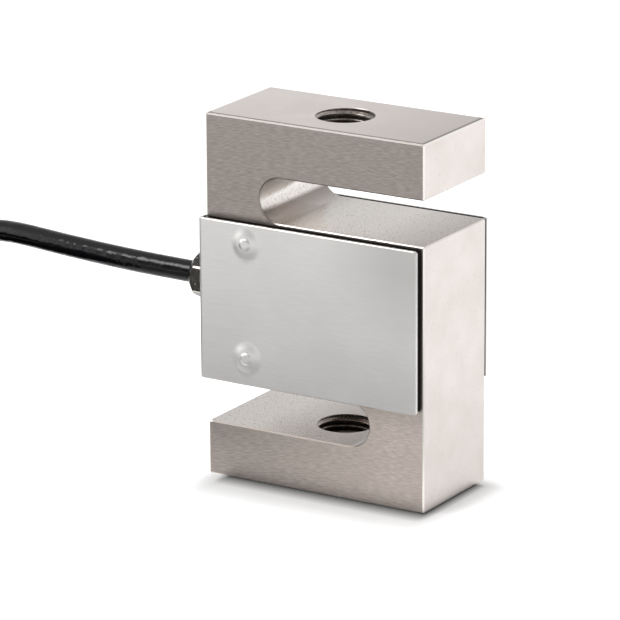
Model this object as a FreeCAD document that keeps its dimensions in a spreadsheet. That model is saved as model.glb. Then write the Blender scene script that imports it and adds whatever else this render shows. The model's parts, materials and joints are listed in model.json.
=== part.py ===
"""S-type load cell: a milled S-shaped spring element with a gauged cavity, its sealed covers,
the cable gland, and the screened cable with the unseen length wound into a coil.

Millimetres. +Z up, +X towards the side where the upper slot opens, -Y towards the front cover.
The origin is at the middle of the spring element's bottom face.
"""
import FreeCAD, Part
import math
import os
import Sketcher

Vector = FreeCAD.Vector
Rotation = FreeCAD.Rotation

# Each driving size has a word for its name, its value and what it is.
SIZES = [
    ("body_width", 50.8, "across the S, left to right"),
    ("body_depth", 24.6, "front face to rear face"),
    ("body_height", 76.2, "between the two threaded faces"),
    ("block_height", 34.6, "middle block, between the slots"),
    ("slot_gap", 9.4, "height of each slot"),
    ("closed_wall", 12.7, "steel left beyond the round end of a slot"),
    ("edge_break", 0.25, "chamfer of the outer edges"),
    ("thread_bore", 12.0, "major diameter of the load threads"),
    ("thread_mouth", 12.3, "countersink of the load threads"),
    ("gauge_bore", 18.0, "each of the two bores of the gauge cavity"),
    ("gauge_bore_offset", 11.0, "from the middle to a bore's axis"),
    ("neck_gap", 6.0, "height of the slot that joins the bores"),
    ("cover_sheet", 0.7, "sheet of the covers"),
    ("cover_standoff", 1.85, "gap that the gasket fills"),
    ("cover_side_inset", 0.4, "cover's free end, short of the block's side"),
    ("cover_overhang", 0.5, "cover's folded end, past the block's side"),
    ("cover_edge_inset", 0.4, "cover's long edges, short of the slots"),
    ("cover_bend", 0.3, "inside radius of the folded end"),
    ("cover_corner", 0.4, "radius of the cover's corners"),
    ("dome_radius", 3.4, "soft rise pressed over each stud"),
    ("dome_rise", 0.45, "height of that rise"),
    ("boss_foot", 1.5, "radius at the foot of the small boss on the rise"),
    ("boss_radius", 1.2, "radius of the boss's flat top"),
    ("boss_rise", 0.3, "height of the boss"),
    ("stud_from_end", 11.5, "from the cover's folded end to the studs"),
    ("stud_spread", 24.0, "between the two studs of a cover"),
    ("stud_above", 0.8, "middle of a cover's studs, above the cover's middle"),
    ("stud_shank", 2.4, "part driven into the block"),
    ("stud_depth", 5.0, "how deep it is driven"),
    ("stud_collar", 3.4, "collar that passes the gasket"),
    ("stud_tip", 2.2, "nib under the boss"),
    ("gasket_inset", 0.5, "gasket's edge, inside the cover's edge"),
    ("gasket_lip", 0.5, "gasket's window, outside the gauge bores"),
    ("gasket_play", 0.1, "round the studs' collars"),
    ("gauge_length", 7.0, "along the bore's wall"),
    ("gauge_width", 4.4, "along the bore's axis"),
    ("gauge_film", 0.15, "foil on its film"),
    ("board_length", 15.0, "terminal board along X"),
    ("board_depth", 12.0, "terminal board along Y"),
    ("board_sheet", 1.0, "terminal board's laminate"),
    ("terminal_pitch", 2.8, "between terminals of a row"),
    ("terminal_foot", 1.5, "diameter of a solder terminal at the board"),
    ("terminal_top", 1.3, "diameter of a solder terminal at its top"),
    ("terminal_height", 0.8, "of a solder terminal"),
    ("core_row", -6.0, "terminals of the cable's cores"),
    ("inner_row", -2.6, "terminals of the left gauges"),
    ("outer_row", 6.0, "terminals of the right gauges"),
    ("resistor_row", 1.8, "trimming resistors"),
    ("resistor_length", 3.2, "along X"),
    ("resistor_width", 1.6, "along Y"),
    ("resistor_height", 0.6, "above the board"),
    ("resistor_spread", 7.28, "from the first trimming resistor to the last"),
    ("gland_thread", 8.0, "thread in the block's side"),
    ("gland_reach", 4.8, "length of that thread"),
    ("gland_out", 11.3, "from the block's side to the nut's tip"),
    ("flange_flats", 11.0, "gland body's hexagon"),
    ("flange_height", 2.6, "of that hexagon"),
    ("neck_thread", 7.8, "gland body's thread for the nut"),
    ("neck_length", 5.6, "of that thread"),
    ("seal_outer", 6.2, "rubber seal's diameter"),
    ("seal_length", 5.0, "rubber seal"),
    ("seal_depth", 4.8, "how deep it sits in the gland body"),
    ("washer_outer", 7.6, "clamp washer's diameter"),
    ("washer_sheet", 0.6, "clamp washer"),
    ("ring_section", 0.9, "O-ring's section"),
    ("nut_flats", 9.2, "nut's hexagon"),
    ("nut_gap", 0.2, "between nut and flange"),
    ("nut_cone", 2.2, "length of the nut's tapered end"),
    ("nut_tip", 5.8, "diameter at the nut's tip"),
    ("nut_bulge", 9.0, "radius of the taper's profile"),
    ("cable_diameter", 4.6, "over the jacket"),
    ("cable_play", 0.2, "round the cable in the gland"),
    ("cable_tail", 6.9, "from the block's side to the jacket's inner end"),
    ("retainer_outer", 6.6, "crimped ring behind the gland"),
    ("core_diameter", 1.2, "over a core's insulation"),
    ("core_spread", 0.8, "from the cable's axis to a core's axis, each way"),
    ("core_rise", 2.04, "a core's last bend, above its terminal"),
    ("wire_diameter", 0.4, "gauge wires"),
    ("wire_clear", 1.5, "gauge wires beside the board, from its edge"),
    ("wire_rise", 1.5, "a gauge wire's last bend, above its terminal"),
    ("coil_beside", 117.5, "from the body's middle to the coil's, towards -X"),
    ("coil_before", 17.0, "from the body's middle to the coil's, towards -Y"),
    ("coil_mean", 47.0, "across the middle of the coil's turns"),
    ("coil_columns", 4.0, "turns side by side"),
    ("coil_layers", 5.8125, "turns on each other, with the rise of one turn"),
    ("tie_sheet", 0.8, "strap of the coil's ties"),
    ("tie_width", 4.0, "strap of the coil's ties"),
    ("tie_play", 0.2, "between a tie and the coil"),
    ("tie_head_length", 4.8, "tie's head, along the strap"),
    ("tie_head_width", 5.2, "tie's head, across the strap"),
    ("tie_head_height", 2.4, "tie's head, above the strap"),
    ("sleeve_diameter", 5.5, "shrunk sleeve at the cable's far end"),
    ("sleeve_length", 14.0, "shrunk sleeve at the cable's far end"),
    ("strand_diameter", 0.9, "tinned ends of the leads"),
    ("drain_diameter", 0.7, "bare drain wire of the screen"),
    ("strand_length", 6.0, "bare part of each lead"),
]

doc = FreeCAD.newDocument("load_cell")
sheet = doc.addObject("Spreadsheet::Sheet", "dims")
for row, (alias, value, meaning) in enumerate(SIZES, start=1):
    sheet.set(f"A{row}", alias)
    sheet.set(f"B{row}", str(value))
    sheet.setAlias(f"B{row}", alias)
    sheet.set(f"C{row}", meaning)
doc.recompute()


def size(expression):
    """The number that an expression of the sheet's sizes gives."""
    return float(sheet.evalExpression(expression))


# Places that several pieces share, as expressions of the sheet.
AXIS_Z = "dims.body_height / 2"
ARM = "((dims.body_height - dims.block_height) / 2 - dims.slot_gap)"
SIDE = "(dims.body_width / 2)"
FRONT = "(dims.body_depth / 2)"
COVER_LEFT = "(-dims.body_width / 2 - dims.cover_overhang)"
COVER_RIGHT = "(dims.body_width / 2 - dims.cover_side_inset)"
COVER_HALF = "(dims.block_height / 2 - dims.cover_edge_inset)"
STUD_X = f"({COVER_LEFT} + dims.stud_from_end)"
STUD_LEVELS = {  # above the middle of a cover
    "upper": "(dims.stud_above + dims.stud_spread / 2)",
    "lower": "(dims.stud_above - dims.stud_spread / 2)",
}
CABLE_BORE = "(dims.cable_diameter / 2 + dims.cable_play)"
BOARD_TOP = "(dims.body_height / 2 - dims.neck_gap / 2 + dims.board_sheet)"
PAST = 2.0  # how far a cut runs past what it cuts


def new_body(label):
    """A body whose label names its node and its file."""
    body = doc.addObject("PartDesign::Body", label)
    body.Label = label
    body.AllowCompound = True
    return body


def origin_feature(body, role):
    """One of the body's own origin planes or axes."""
    return next(o for o in body.Origin.OriginFeatures if o.Role == role)


def new_sketch(body, role, name, **offsets):
    """A sketch on one of the body's origin planes. offsets moves it in its own x, y or z."""
    sketch = body.newObject("Sketcher::SketchObject", name)
    sketch.AttachmentSupport = [(origin_feature(body, role), "")]
    sketch.MapMode = "FlatFace"
    for axis, expression in offsets.items():
        sketch.setExpression(f"AttachmentOffset.Base.{axis}", expression)
    return sketch


def bind(sketch, kind, *references, expression):
    """A dimension of the sketch, driven by the sheet."""
    value = size(expression)
    if kind.startswith("Distance") and abs(value) < 1e-9:
        axis = -2 if kind == "DistanceX" else -1
        sketch.addConstraint(Sketcher.Constraint("PointOnObject", *references[2:], axis))
        return
    index = sketch.addConstraint(Sketcher.Constraint(kind, *references, value))
    sketch.setExpression(f"Constraints[{index}]", expression)


def outline(sketch, corners):
    """A closed outline through corners, each (x, y) as expressions. A corner with a third value
    is reached by an arc of that radius, and with a fourth of -1 the arc turns clockwise."""
    places = [Vector(size(c[0]), size(c[1]), 0) for c in corners]
    ends = []
    for k, corner in enumerate(corners):
        start, end = places[k - 1], places[k]
        if len(corner) == 2:
            index = sketch.addGeometry(Part.LineSegment(start, end), False)
            ends.append((index, 1, 2))
            continue
        radius = size(corner[2])
        turn = corner[3] if len(corner) > 3 else 1
        chord = end - start
        rise = math.sqrt(max(radius**2 - (chord.Length / 2) ** 2, 0))
        across = Vector(-chord.y, chord.x, 0).normalize()
        centre = (start + end) * 0.5 + across * (rise * turn)
        first, last = (start, end) if turn > 0 else (end, start)
        circle = Part.Circle(centre, Vector(0, 0, 1), radius)
        angles = [math.atan2(p.y - centre.y, p.x - centre.x) for p in (first, last)]
        index = sketch.addGeometry(Part.ArcOfCircle(circle, *angles), False)
        ends.append((index, 1, 2) if turn > 0 else (index, 2, 1))
        if rise > 1e-9:
            bind(sketch, "Radius", index, expression=corner[2])
            continue
        # A half circle has its centre at the middle of its chord.
        along = 0 if abs(chord.x) < abs(chord.y) else 1
        middle = f"(({corners[k - 1][along]}) + ({corner[along]})) / 2"
        bind(sketch, ("DistanceX", "DistanceY")[along], -1, 1, index, 3, expression=middle)
    for k, corner in enumerate(corners):
        index, start, end = ends[k]
        after, after_start, _ = ends[(k + 1) % len(corners)]
        sketch.addConstraint(Sketcher.Constraint("Coincident", index, end, after, after_start))
        bind(sketch, "DistanceX", -1, 1, index, end, expression=corner[0])
        bind(sketch, "DistanceY", -1, 1, index, end, expression=corner[1])


def circle(sketch, x, y, diameter):
    """A circle whose middle and diameter are expressions."""
    shape = Part.Circle(Vector(size(x), size(y), 0), Vector(0, 0, 1), size(diameter) / 2)
    index = sketch.addGeometry(shape, False)
    bind(sketch, "Diameter", index, expression=diameter)
    bind(sketch, "DistanceX", -1, 1, index, 3, expression=x)
    bind(sketch, "DistanceY", -1, 1, index, 3, expression=y)


def hexagon(sketch, flats):
    """A regular hexagon round the sketch's origin, with two corners on its x axis."""
    corner = size(flats) / math.sqrt(3)
    points = [
        Vector(corner * math.cos(math.radians(60 * k)), corner * math.sin(math.radians(60 * k)), 0)
        for k in range(6)
    ]
    round_line = sketch.addGeometry(Part.Circle(Vector(), Vector(0, 0, 1), corner), True)
    sketch.addConstraint(Sketcher.Constraint("Coincident", round_line, 3, -1, 1))
    bind(sketch, "Diameter", round_line, expression=f"2 * {flats} / sqrt(3)")
    sides = [sketch.addGeometry(Part.LineSegment(points[k - 1], points[k]), False) for k in range(6)]
    for k, side in enumerate(sides):
        after = sides[(k + 1) % 6]
        sketch.addConstraint(Sketcher.Constraint("Coincident", side, 2, after, 1))
        sketch.addConstraint(Sketcher.Constraint("PointOnObject", side, 2, round_line))
        if k:
            sketch.addConstraint(Sketcher.Constraint("Equal", sides[0], side))
    sketch.addConstraint(Sketcher.Constraint("PointOnObject", sides[0], 2, -1))


def feature(body, kind, name, sketch, **settings):
    """A PartDesign feature on a sketch. Text settings are expressions of the sheet."""
    made = body.newObject(f"PartDesign::{kind}", name)
    made.Profile = sketch
    for setting, value in settings.items():
        if isinstance(value, str) and "dims." in value:
            made.setExpression(setting, value)
        else:
            setattr(made, setting, value)
    return made


def cut(body, kind, name, sketch, **settings):
    """A feature that removes material, and really does."""
    doc.recompute()
    before = body.Shape.Volume
    made = feature(body, kind, name, sketch, **settings)
    doc.recompute()
    if not made.Shape.Volume < before - 1e-6:
        raise RuntimeError(f"{name} of {body.Label} cuts nothing")
    return made


def place(part, x="0", y="0", z="0", rotation=None):
    """A sub-part's place in the shared frame, bound to the sheet, and its turn."""
    part.Placement = FreeCAD.Placement(Vector(), rotation or Rotation())
    for axis, expression in (("x", x), ("y", y), ("z", z)):
        if expression != "0":
            part.setExpression(f"Placement.Base.{axis}", expression)


# Spring element


def spring_element():
    """The S body: a block with two slots from opposite sides, the gauge cavity between them,
    a load thread through each arm, and the holes for the gland and the covers' studs."""
    body = new_body("spring_element")
    block = new_sketch(body, "XZ_Plane", "block_outline")
    outline(block, [(f"-{SIDE}", "0"), (SIDE, "0"), (SIDE, "dims.body_height"),
                    (f"-{SIDE}", "dims.body_height")])
    feature(body, "Pad", "block", block, Length="dims.body_depth", SideType="Symmetric")

    # The upper slot opens to the right and the lower one to the left.
    for name, hand, low in (
        ("upper_slot", 1, f"(dims.body_height - {ARM} - dims.slot_gap)"),
        ("lower_slot", -1, ARM),
    ):
        sketch = new_sketch(body, "XZ_Plane", f"{name}_outline")
        high = f"({low} + dims.slot_gap)"
        mouth = f"{hand} * ({SIDE} + {PAST})"
        end = f"{-hand} * ({SIDE} - dims.closed_wall - dims.slot_gap / 2)"
        round_end = "dims.slot_gap / 2"
        if hand > 0:
            corners = [(mouth, low), (mouth, high), (end, high), (end, low, round_end)]
        else:
            corners = [(mouth, high), (mouth, low), (end, low), (end, high, round_end)]
        outline(sketch, corners)
        cut(body, "Pocket", name, sketch, Type="ThroughAll", SideType="Symmetric")

    bores = new_sketch(body, "XZ_Plane", "gauge_bore_circles")
    for hand in ("-", ""):
        circle(bores, f"{hand}dims.gauge_bore_offset", AXIS_Z, "dims.gauge_bore")
    cut(body, "Pocket", "gauge_bores", bores, Type="ThroughAll", SideType="Symmetric")
    neck = new_sketch(body, "XZ_Plane", "neck_outline")
    reach = "dims.gauge_bore_offset"
    low, high = (f"({AXIS_Z} {sign} dims.neck_gap / 2)" for sign in "-+")
    outline(neck, [(f"-{reach}", low), (reach, low), (reach, high), (f"-{reach}", high)])
    cut(body, "Pocket", "neck", neck, Type="ThroughAll", SideType="Symmetric")

    # A load thread's bore has a countersink at both faces of its arm.
    lead = "((dims.thread_mouth - dims.thread_bore) / 2)"
    for name, low, high in (
        ("lower_load_thread", "0", ARM),
        ("upper_load_thread", f"(dims.body_height - {ARM})", "dims.body_height"),
    ):
        sketch = new_sketch(body, "XZ_Plane", f"{name}_profile")
        bore, mouth = "dims.thread_bore / 2", "dims.thread_mouth / 2"
        outline(sketch, [("0", low), (mouth, low), (bore, f"{low} + {lead}"),
                         (bore, f"{high} - {lead}"), (mouth, high), ("0", high)])
        cut(body, "Groove", name, sketch, ReferenceAxis=(sketch, ["V_Axis"]))

    gland_hole = new_sketch(body, "YZ_Plane", "gland_hole_circle", z="-dims.gauge_bore_offset")
    circle(gland_hole, "0", AXIS_Z, "dims.gland_thread")
    cut(body, "Pocket", "gland_hole", gland_hole, Type="ThroughAll", Reversed=False)

    # The rear cover is turned half round, so its studs' places are too.
    for face, out, up in (("front", FRONT, "+"), ("rear", f"-{FRONT}", "-")):
        studs = new_sketch(body, "XZ_Plane", f"{face}_stud_hole_circles", z=out)
        for level in STUD_LEVELS.values():
            circle(studs, STUD_X, f"{AXIS_Z} {up} {level}", "dims.stud_shank")
        cut(body, "Pocket", f"{face}_stud_holes", studs, Length="dims.stud_depth",
            Reversed=face == "rear")
    doc.recompute()
    break_edges(body)
    return body


def break_edges(body):
    """A small chamfer on the outlines of the front and rear faces and on the straight edges of
    the two sides. The threads, the gauge cavity and the small holes keep theirs as drilled."""
    side, front, middle = size(SIDE), size(FRONT), size(AXIS_Z)
    half_block = size("dims.block_height / 2")
    near = 1e-3

    def outer(edge):
        first, last = edge.ParameterRange
        points = [edge.valueAt(first + share * (last - first)) for share in (0.0, 0.4, 1.0)]
        on_face = all(abs(abs(p.y) - front) < near for p in points)
        on_side = all(abs(abs(p.x) - side) < near for p in points)
        in_block = all(abs(p.z - middle) < half_block - near for p in points)
        if on_side:
            return isinstance(edge.Curve, Part.Line)
        return on_face and not in_block

    edges = [f"Edge{k}" for k, edge in enumerate(body.Shape.Edges, start=1) if outer(edge)]
    drilled = body.Tip
    chamfer = body.newObject("PartDesign::Chamfer", "edge_breaks")
    chamfer.Base = (drilled, edges)
    chamfer.setExpression("Size", "dims.edge_break")


# Covers, with what seals and holds them. Each is modelled for the front, round the middle of the
# block's front face, and turned half round the X axis for the rear.


def on_face(part, hand):
    """Places a piece of a cover's group on the front face (-1) or turned onto the rear one (1)."""
    turn = Rotation(Vector(1, 0, 0), 0 if hand < 0 else 180)
    place(part, y=f"{hand} * dims.body_depth / 2", z=AXIS_Z, rotation=turn)


def pressed_rise(sheet_face):
    """The profile of a dome with its boss, from its rim to its axis. sheet_face is the side of
    the sheet that it rises from. Two arcs of one radius make the soft rim."""
    arc = "(((dims.dome_radius - dims.boss_foot)^2 + dims.dome_rise^2) / (4 * dims.dome_rise))"
    half_x = "((dims.dome_radius + dims.boss_foot) / 2)"
    return [
        (half_x, f"{sheet_face} - dims.dome_rise / 2", arc),
        ("dims.boss_foot", f"{sheet_face} - dims.dome_rise", arc, -1),
        ("dims.boss_radius", f"{sheet_face} - dims.dome_rise - dims.boss_rise"),
        ("0", f"{sheet_face} - dims.dome_rise - dims.boss_rise"),
    ]


def cover(label, hand):
    """A sheet folded back at the cable's end, with a dome pressed over each stud."""
    body = new_body(label)
    outer, inner = "-(dims.cover_standoff + dims.cover_sheet)", "-dims.cover_standoff"
    inside_bend, outside_bend = "dims.cover_bend", "(dims.cover_bend + dims.cover_sheet)"
    section = new_sketch(body, "XY_Plane", f"{label}_section")
    outline(section, [
        (COVER_RIGHT, outer),
        (COVER_RIGHT, inner),
        (f"{COVER_LEFT} + {outside_bend}", inner),
        (f"{COVER_LEFT} + dims.cover_sheet", f"{inner} + {inside_bend}", inside_bend, -1),
        (f"{COVER_LEFT} + dims.cover_sheet", "0"),
        (COVER_LEFT, "0"),
        (COVER_LEFT, f"{outer} + {outside_bend}"),
        (f"{COVER_LEFT} + {outside_bend}", outer, outside_bend),
    ])
    feature(body, "Pad", f"{label}_fold", section, Length=f"2 * {COVER_HALF}",
            SideType="Symmetric")

    corners = new_sketch(body, "XZ_Plane", f"{label}_corner_cuts")
    for end, way in ((COVER_LEFT, 1), (COVER_RIGHT, -1)):
        for up in (1, -1):
            along, top = f"({end} + {way} * dims.cover_corner)", f"({up} * {COVER_HALF})"
            outline(corners, [
                (end, f"{top} - {up} * dims.cover_corner"),
                (along, top, "dims.cover_corner", -way * up),
                (along, f"{top} + {up} * {PAST}"),
                (f"{end} - {way} * {PAST}", f"{top} + {up} * {PAST}"),
                (f"{end} - {way} * {PAST}", f"{top} - {up} * dims.cover_corner"),
            ])
    cut(body, "Pocket", f"{label}_corners", corners, Type="ThroughAll", SideType="Symmetric")

    for level, z in STUD_LEVELS.items():
        rise = new_sketch(body, "XY_Plane", f"{label}_{level}_dome_profile", x=STUD_X, z=z)
        outline(rise, [("dims.dome_radius", outer)] + pressed_rise(outer)
                + [("0", f"{outer} + dims.cover_sheet / 2"),
                   ("dims.dome_radius", f"{outer} + dims.cover_sheet / 2")])
        feature(body, "Revolution", f"{label}_{level}_dome", rise, ReferenceAxis=(rise, ["V_Axis"]))
        hollow = new_sketch(body, "XY_Plane", f"{label}_{level}_hollow_profile", x=STUD_X, z=z)
        outline(hollow, [("dims.dome_radius", inner)] + pressed_rise(inner) + [("0", inner)])
        cut(body, "Groove", f"{label}_{level}_hollow", hollow, ReferenceAxis=(hollow, ["V_Axis"]))
    on_face(body, hand)
    return body


def gasket(label, hand):
    """Black rubber between cover and block, with a window for the gauge cavity."""
    body = new_body(label)
    sketch = new_sketch(body, "XZ_Plane", f"{label}_outline")
    left = f"({COVER_LEFT} + dims.cover_sheet + dims.cover_bend)"
    right = f"({COVER_RIGHT} - dims.gasket_inset)"
    top = f"({COVER_HALF} - dims.gasket_inset)"
    outline(sketch, [(left, f"-{top}"), (right, f"-{top}"), (right, top), (left, top)])
    end, half = "dims.gauge_bore_offset", "(dims.gauge_bore / 2 + dims.gasket_lip)"
    outline(sketch, [(end, f"-{half}"), (end, half, half), (f"-{end}", half),
                     (f"-{end}", f"-{half}", half)])
    feature(body, "Pad", f"{label}_sheet", sketch, Length="dims.cover_standoff")

    # Punched after the window, so that they may open into it where the studs come near it.
    holes = new_sketch(body, "XZ_Plane", f"{label}_stud_hole_circles")
    for level in STUD_LEVELS.values():
        circle(holes, STUD_X, level, "dims.stud_collar + 2 * dims.gasket_play")
    cut(body, "Pocket", f"{label}_stud_holes", holes, Type="ThroughAll", SideType="Symmetric")
    on_face(body, hand)
    return body


def cover_studs(label, hand):
    """The two studs that hold a cover at the cable's end. Each is driven into the block, carries
    the sheet on its collar and ends in a nib under the sheet's boss."""
    body = new_body(label)
    shank, collar, nib = (f"dims.stud_{name} / 2" for name in ("shank", "collar", "tip"))
    seat = "-dims.cover_standoff"
    for level, z in STUD_LEVELS.items():
        profile = new_sketch(body, "XY_Plane", f"{label}_{level}_profile", x=STUD_X, z=z)
        outline(profile, [
            ("0", "dims.stud_depth"),
            ("0", f"{seat} - dims.dome_rise - dims.boss_rise"),
            (nib, f"{seat} - dims.dome_rise - dims.boss_rise"),
            (nib, f"{seat} - dims.dome_rise / 2"),
            (collar, seat),
            (collar, "0"),
            (shank, "0"),
            (shank, "dims.stud_depth"),
        ])
        feature(body, "Revolution", f"{label}_{level}_stud", profile,
                ReferenceAxis=(profile, ["V_Axis"]))
    on_face(body, hand)
    return body


# Inside the gauge cavity


def strain_gauge(label, side, up):
    """A foil gauge bonded in a bore, where the wall to the slot is thinnest."""
    body = new_body(label)
    sketch = new_sketch(body, "XZ_Plane", f"{label}_section")
    outer, inner = "(dims.gauge_bore / 2)", "(dims.gauge_bore / 2 - dims.gauge_film)"
    spread = "(dims.gauge_length / dims.gauge_bore * 1 rad)"
    corners = []
    for radius, hand in ((outer, ""), (outer, "-"), (inner, "-"), (inner, "")):
        corners.append([f"{radius} * sin({hand}{spread})", f"{radius} * cos({spread})"])
    corners[1].append(outer)
    corners[3].extend([inner, -1])
    outline(sketch, corners)
    feature(body, "Pad", f"{label}_film", sketch, Length="dims.gauge_width",
            SideType="Symmetric")
    turn = Rotation(Vector(0, 1, 0), 0 if up > 0 else 180)
    place(body, x=f"{side} * dims.gauge_bore_offset", z=AXIS_Z, rotation=turn)
    return body


def terminal_board():
    """The laminate board on the neck's floor, with its solder terminals' holes left filled."""
    body = new_body("terminal_board")
    sketch = new_sketch(body, "XY_Plane", "board_outline")
    x, y = "dims.board_length / 2", "dims.board_depth / 2"
    outline(sketch, [(f"-{x}", f"-{y}"), (x, f"-{y}"), (x, y), (f"-{x}", y)])
    feature(body, "Pad", "board", sketch, Length="dims.board_sheet")
    place(body, z=f"{BOARD_TOP} - dims.board_sheet")
    return body


def solder_terminals():
    """Three rows of four solder cones: the cable's cores, the left gauges, the right gauges."""
    body = new_body("solder_terminals")
    copies = []
    for name in ("core_row", "inner_row", "outer_row"):
        cone = new_sketch(body, "XZ_Plane", f"{name}_profile", x=f"dims.{name}",
                          z="-1.5 * dims.terminal_pitch")
        foot, top = "dims.terminal_foot / 2", "dims.terminal_top / 2"
        outline(cone, [("0", "0"), (foot, "0"), (top, "dims.terminal_height"),
                       ("0", "dims.terminal_height")])
        turned = feature(body, "Revolution", f"{name}_cone", cone,
                         ReferenceAxis=(cone, ["V_Axis"]))
        copies.append(turned)
    row = body.newObject("PartDesign::LinearPattern", "terminal_rows")
    row.Originals = copies
    row.Direction = (origin_feature(body, "Y_Axis"), [""])
    row.setExpression("Length", "3 * dims.terminal_pitch")
    row.Occurrences = 4
    row.Reversed = True
    body.Tip = row
    place(body, z=BOARD_TOP)
    return body


def trim_resistors():
    """The chips that trim the bridge, in a row across the board."""
    body = new_body("trim_resistors")
    chip = new_sketch(body, "XY_Plane", "chip_outline")
    length, width = "dims.resistor_length / 2", "dims.resistor_width / 2"
    first = "-dims.resistor_spread / 2"
    left, right = f"dims.resistor_row - {length}", f"dims.resistor_row + {length}"
    low, high = f"{first} - {width}", f"{first} + {width}"
    outline(chip, [(left, low), (right, low), (right, high), (left, high)])
    one = feature(body, "Pad", "chip", chip, Length="dims.resistor_height")
    row = body.newObject("PartDesign::LinearPattern", "chips")
    row.Originals = [one]
    row.Direction = (origin_feature(body, "Y_Axis"), [""])
    row.setExpression("Length", "dims.resistor_spread")
    row.Occurrences = 3
    body.Tip = row
    place(body, z=BOARD_TOP)
    return body


# Cable gland. Its pieces are turned about the local Z axis, which points out of the block's left
# side, and z = 0 is that side.


def on_gland_axis(part):
    place(part, x=f"-{SIDE}", z=AXIS_Z, rotation=Rotation(Vector(0, 1, 0), -90))


SEAL_BOTTOM = "(dims.flange_height + dims.neck_length - dims.seal_depth)"
SEAL_TOP = f"({SEAL_BOTTOM} + dims.seal_length)"
WASHER_TOP = f"({SEAL_TOP} + dims.washer_sheet)"


def gland_body():
    """Hexagon with a thread into the block and one for the nut, bored for cable and seal, with a
    recess for the O-ring against the block's side."""
    body = new_body("gland_body")
    flats = new_sketch(body, "XY_Plane", "flange_hexagon")
    hexagon(flats, "dims.flange_flats")
    feature(body, "Pad", "flange", flats, Length="dims.flange_height")
    threads = new_sketch(body, "XZ_Plane", "thread_profile")
    shank, neck = "dims.gland_thread / 2", "dims.neck_thread / 2"
    mouth = "dims.flange_height + dims.neck_length"
    outline(threads, [
        ("0", "-dims.gland_reach"),
        (shank, "-dims.gland_reach"),
        (shank, "dims.flange_height / 2"),
        (neck, "dims.flange_height / 2"),
        (neck, mouth),
        ("0", mouth),
    ])
    feature(body, "Revolution", "threads", threads, ReferenceAxis=(threads, ["V_Axis"]))
    bore = new_sketch(body, "XZ_Plane", "bore_profile")
    outline(bore, [
        ("0", f"-dims.gland_reach - {PAST}"),
        (CABLE_BORE, f"-dims.gland_reach - {PAST}"),
        (CABLE_BORE, SEAL_BOTTOM),
        ("dims.seal_outer / 2", SEAL_BOTTOM),
        ("dims.seal_outer / 2", f"{mouth} + {PAST}"),
        ("0", f"{mouth} + {PAST}"),
    ])
    cut(body, "Groove", "bore", bore, ReferenceAxis=(bore, ["V_Axis"]))
    recess = new_sketch(body, "XZ_Plane", "ring_recess_profile")
    wall = f"({shank} + dims.ring_section)"
    outline(recess, [(shank, "0"), (wall, "0"), (wall, "dims.ring_section"),
                     (shank, "dims.ring_section")])
    cut(body, "Groove", "ring_recess", recess, ReferenceAxis=(recess, ["V_Axis"]))
    on_gland_axis(body)
    return body


def turned_ring(label, inner, outer, low, high):
    """A plain ring on the gland's axis."""
    body = new_body(label)
    sketch = new_sketch(body, "XZ_Plane", f"{label}_profile")
    outline(sketch, [(inner, low), (outer, low), (outer, high), (inner, high)])
    feature(body, "Revolution", f"{label}_turned", sketch, ReferenceAxis=(sketch, ["V_Axis"]))
    on_gland_axis(body)
    return body


def gland_o_ring():
    """The ring in the flange's recess."""
    body = new_body("gland_o_ring")
    sketch = new_sketch(body, "XZ_Plane", "o_ring_section")
    half = "dims.ring_section / 2"
    circle(sketch, f"dims.gland_thread / 2 + {half}", half, "dims.ring_section")
    feature(body, "Revolution", "o_ring", sketch, ReferenceAxis=(sketch, ["V_Axis"]))
    on_gland_axis(body)
    return body


def gland_nut():
    """The hexagon nut, tapered to the cable in a slightly bulging cone, with a blind bore that
    holds the washer and the body's thread."""
    body = new_body("gland_nut")
    flats = new_sketch(body, "XY_Plane", "nut_hexagon", z="dims.flange_height + dims.nut_gap")
    hexagon(flats, "dims.nut_flats")
    feature(body, "Pad", "hexagon", flats,
            Length="dims.gland_out - dims.flange_height - dims.nut_gap")
    bore = new_sketch(body, "XZ_Plane", "nut_bore_profile")
    outline(bore, [
        ("0", "0"),
        ("dims.neck_thread / 2", "0"),
        ("dims.neck_thread / 2", WASHER_TOP),
        (CABLE_BORE, WASHER_TOP),
        (CABLE_BORE, f"dims.gland_out + {PAST}"),
        ("0", f"dims.gland_out + {PAST}"),
    ])
    cut(body, "Groove", "nut_bore", bore, ReferenceAxis=(bore, ["V_Axis"]))
    taper = new_sketch(body, "XZ_Plane", "taper_profile")
    corner = "(dims.nut_flats / sqrt(3))"
    outline(taper, [
        ("dims.nut_tip / 2", "dims.gland_out"),
        (corner, "dims.gland_out - dims.nut_cone", "dims.nut_bulge", -1),
        (f"{corner} + {PAST}", "dims.gland_out - dims.nut_cone"),
        (f"{corner} + {PAST}", f"dims.gland_out + {PAST}"),
        ("dims.nut_tip / 2", f"dims.gland_out + {PAST}"),
    ])
    cut(body, "Groove", "taper", taper, ReferenceAxis=(taper, ["V_Axis"]))
    on_gland_axis(body)
    return body


# Wires and the cable


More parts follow.
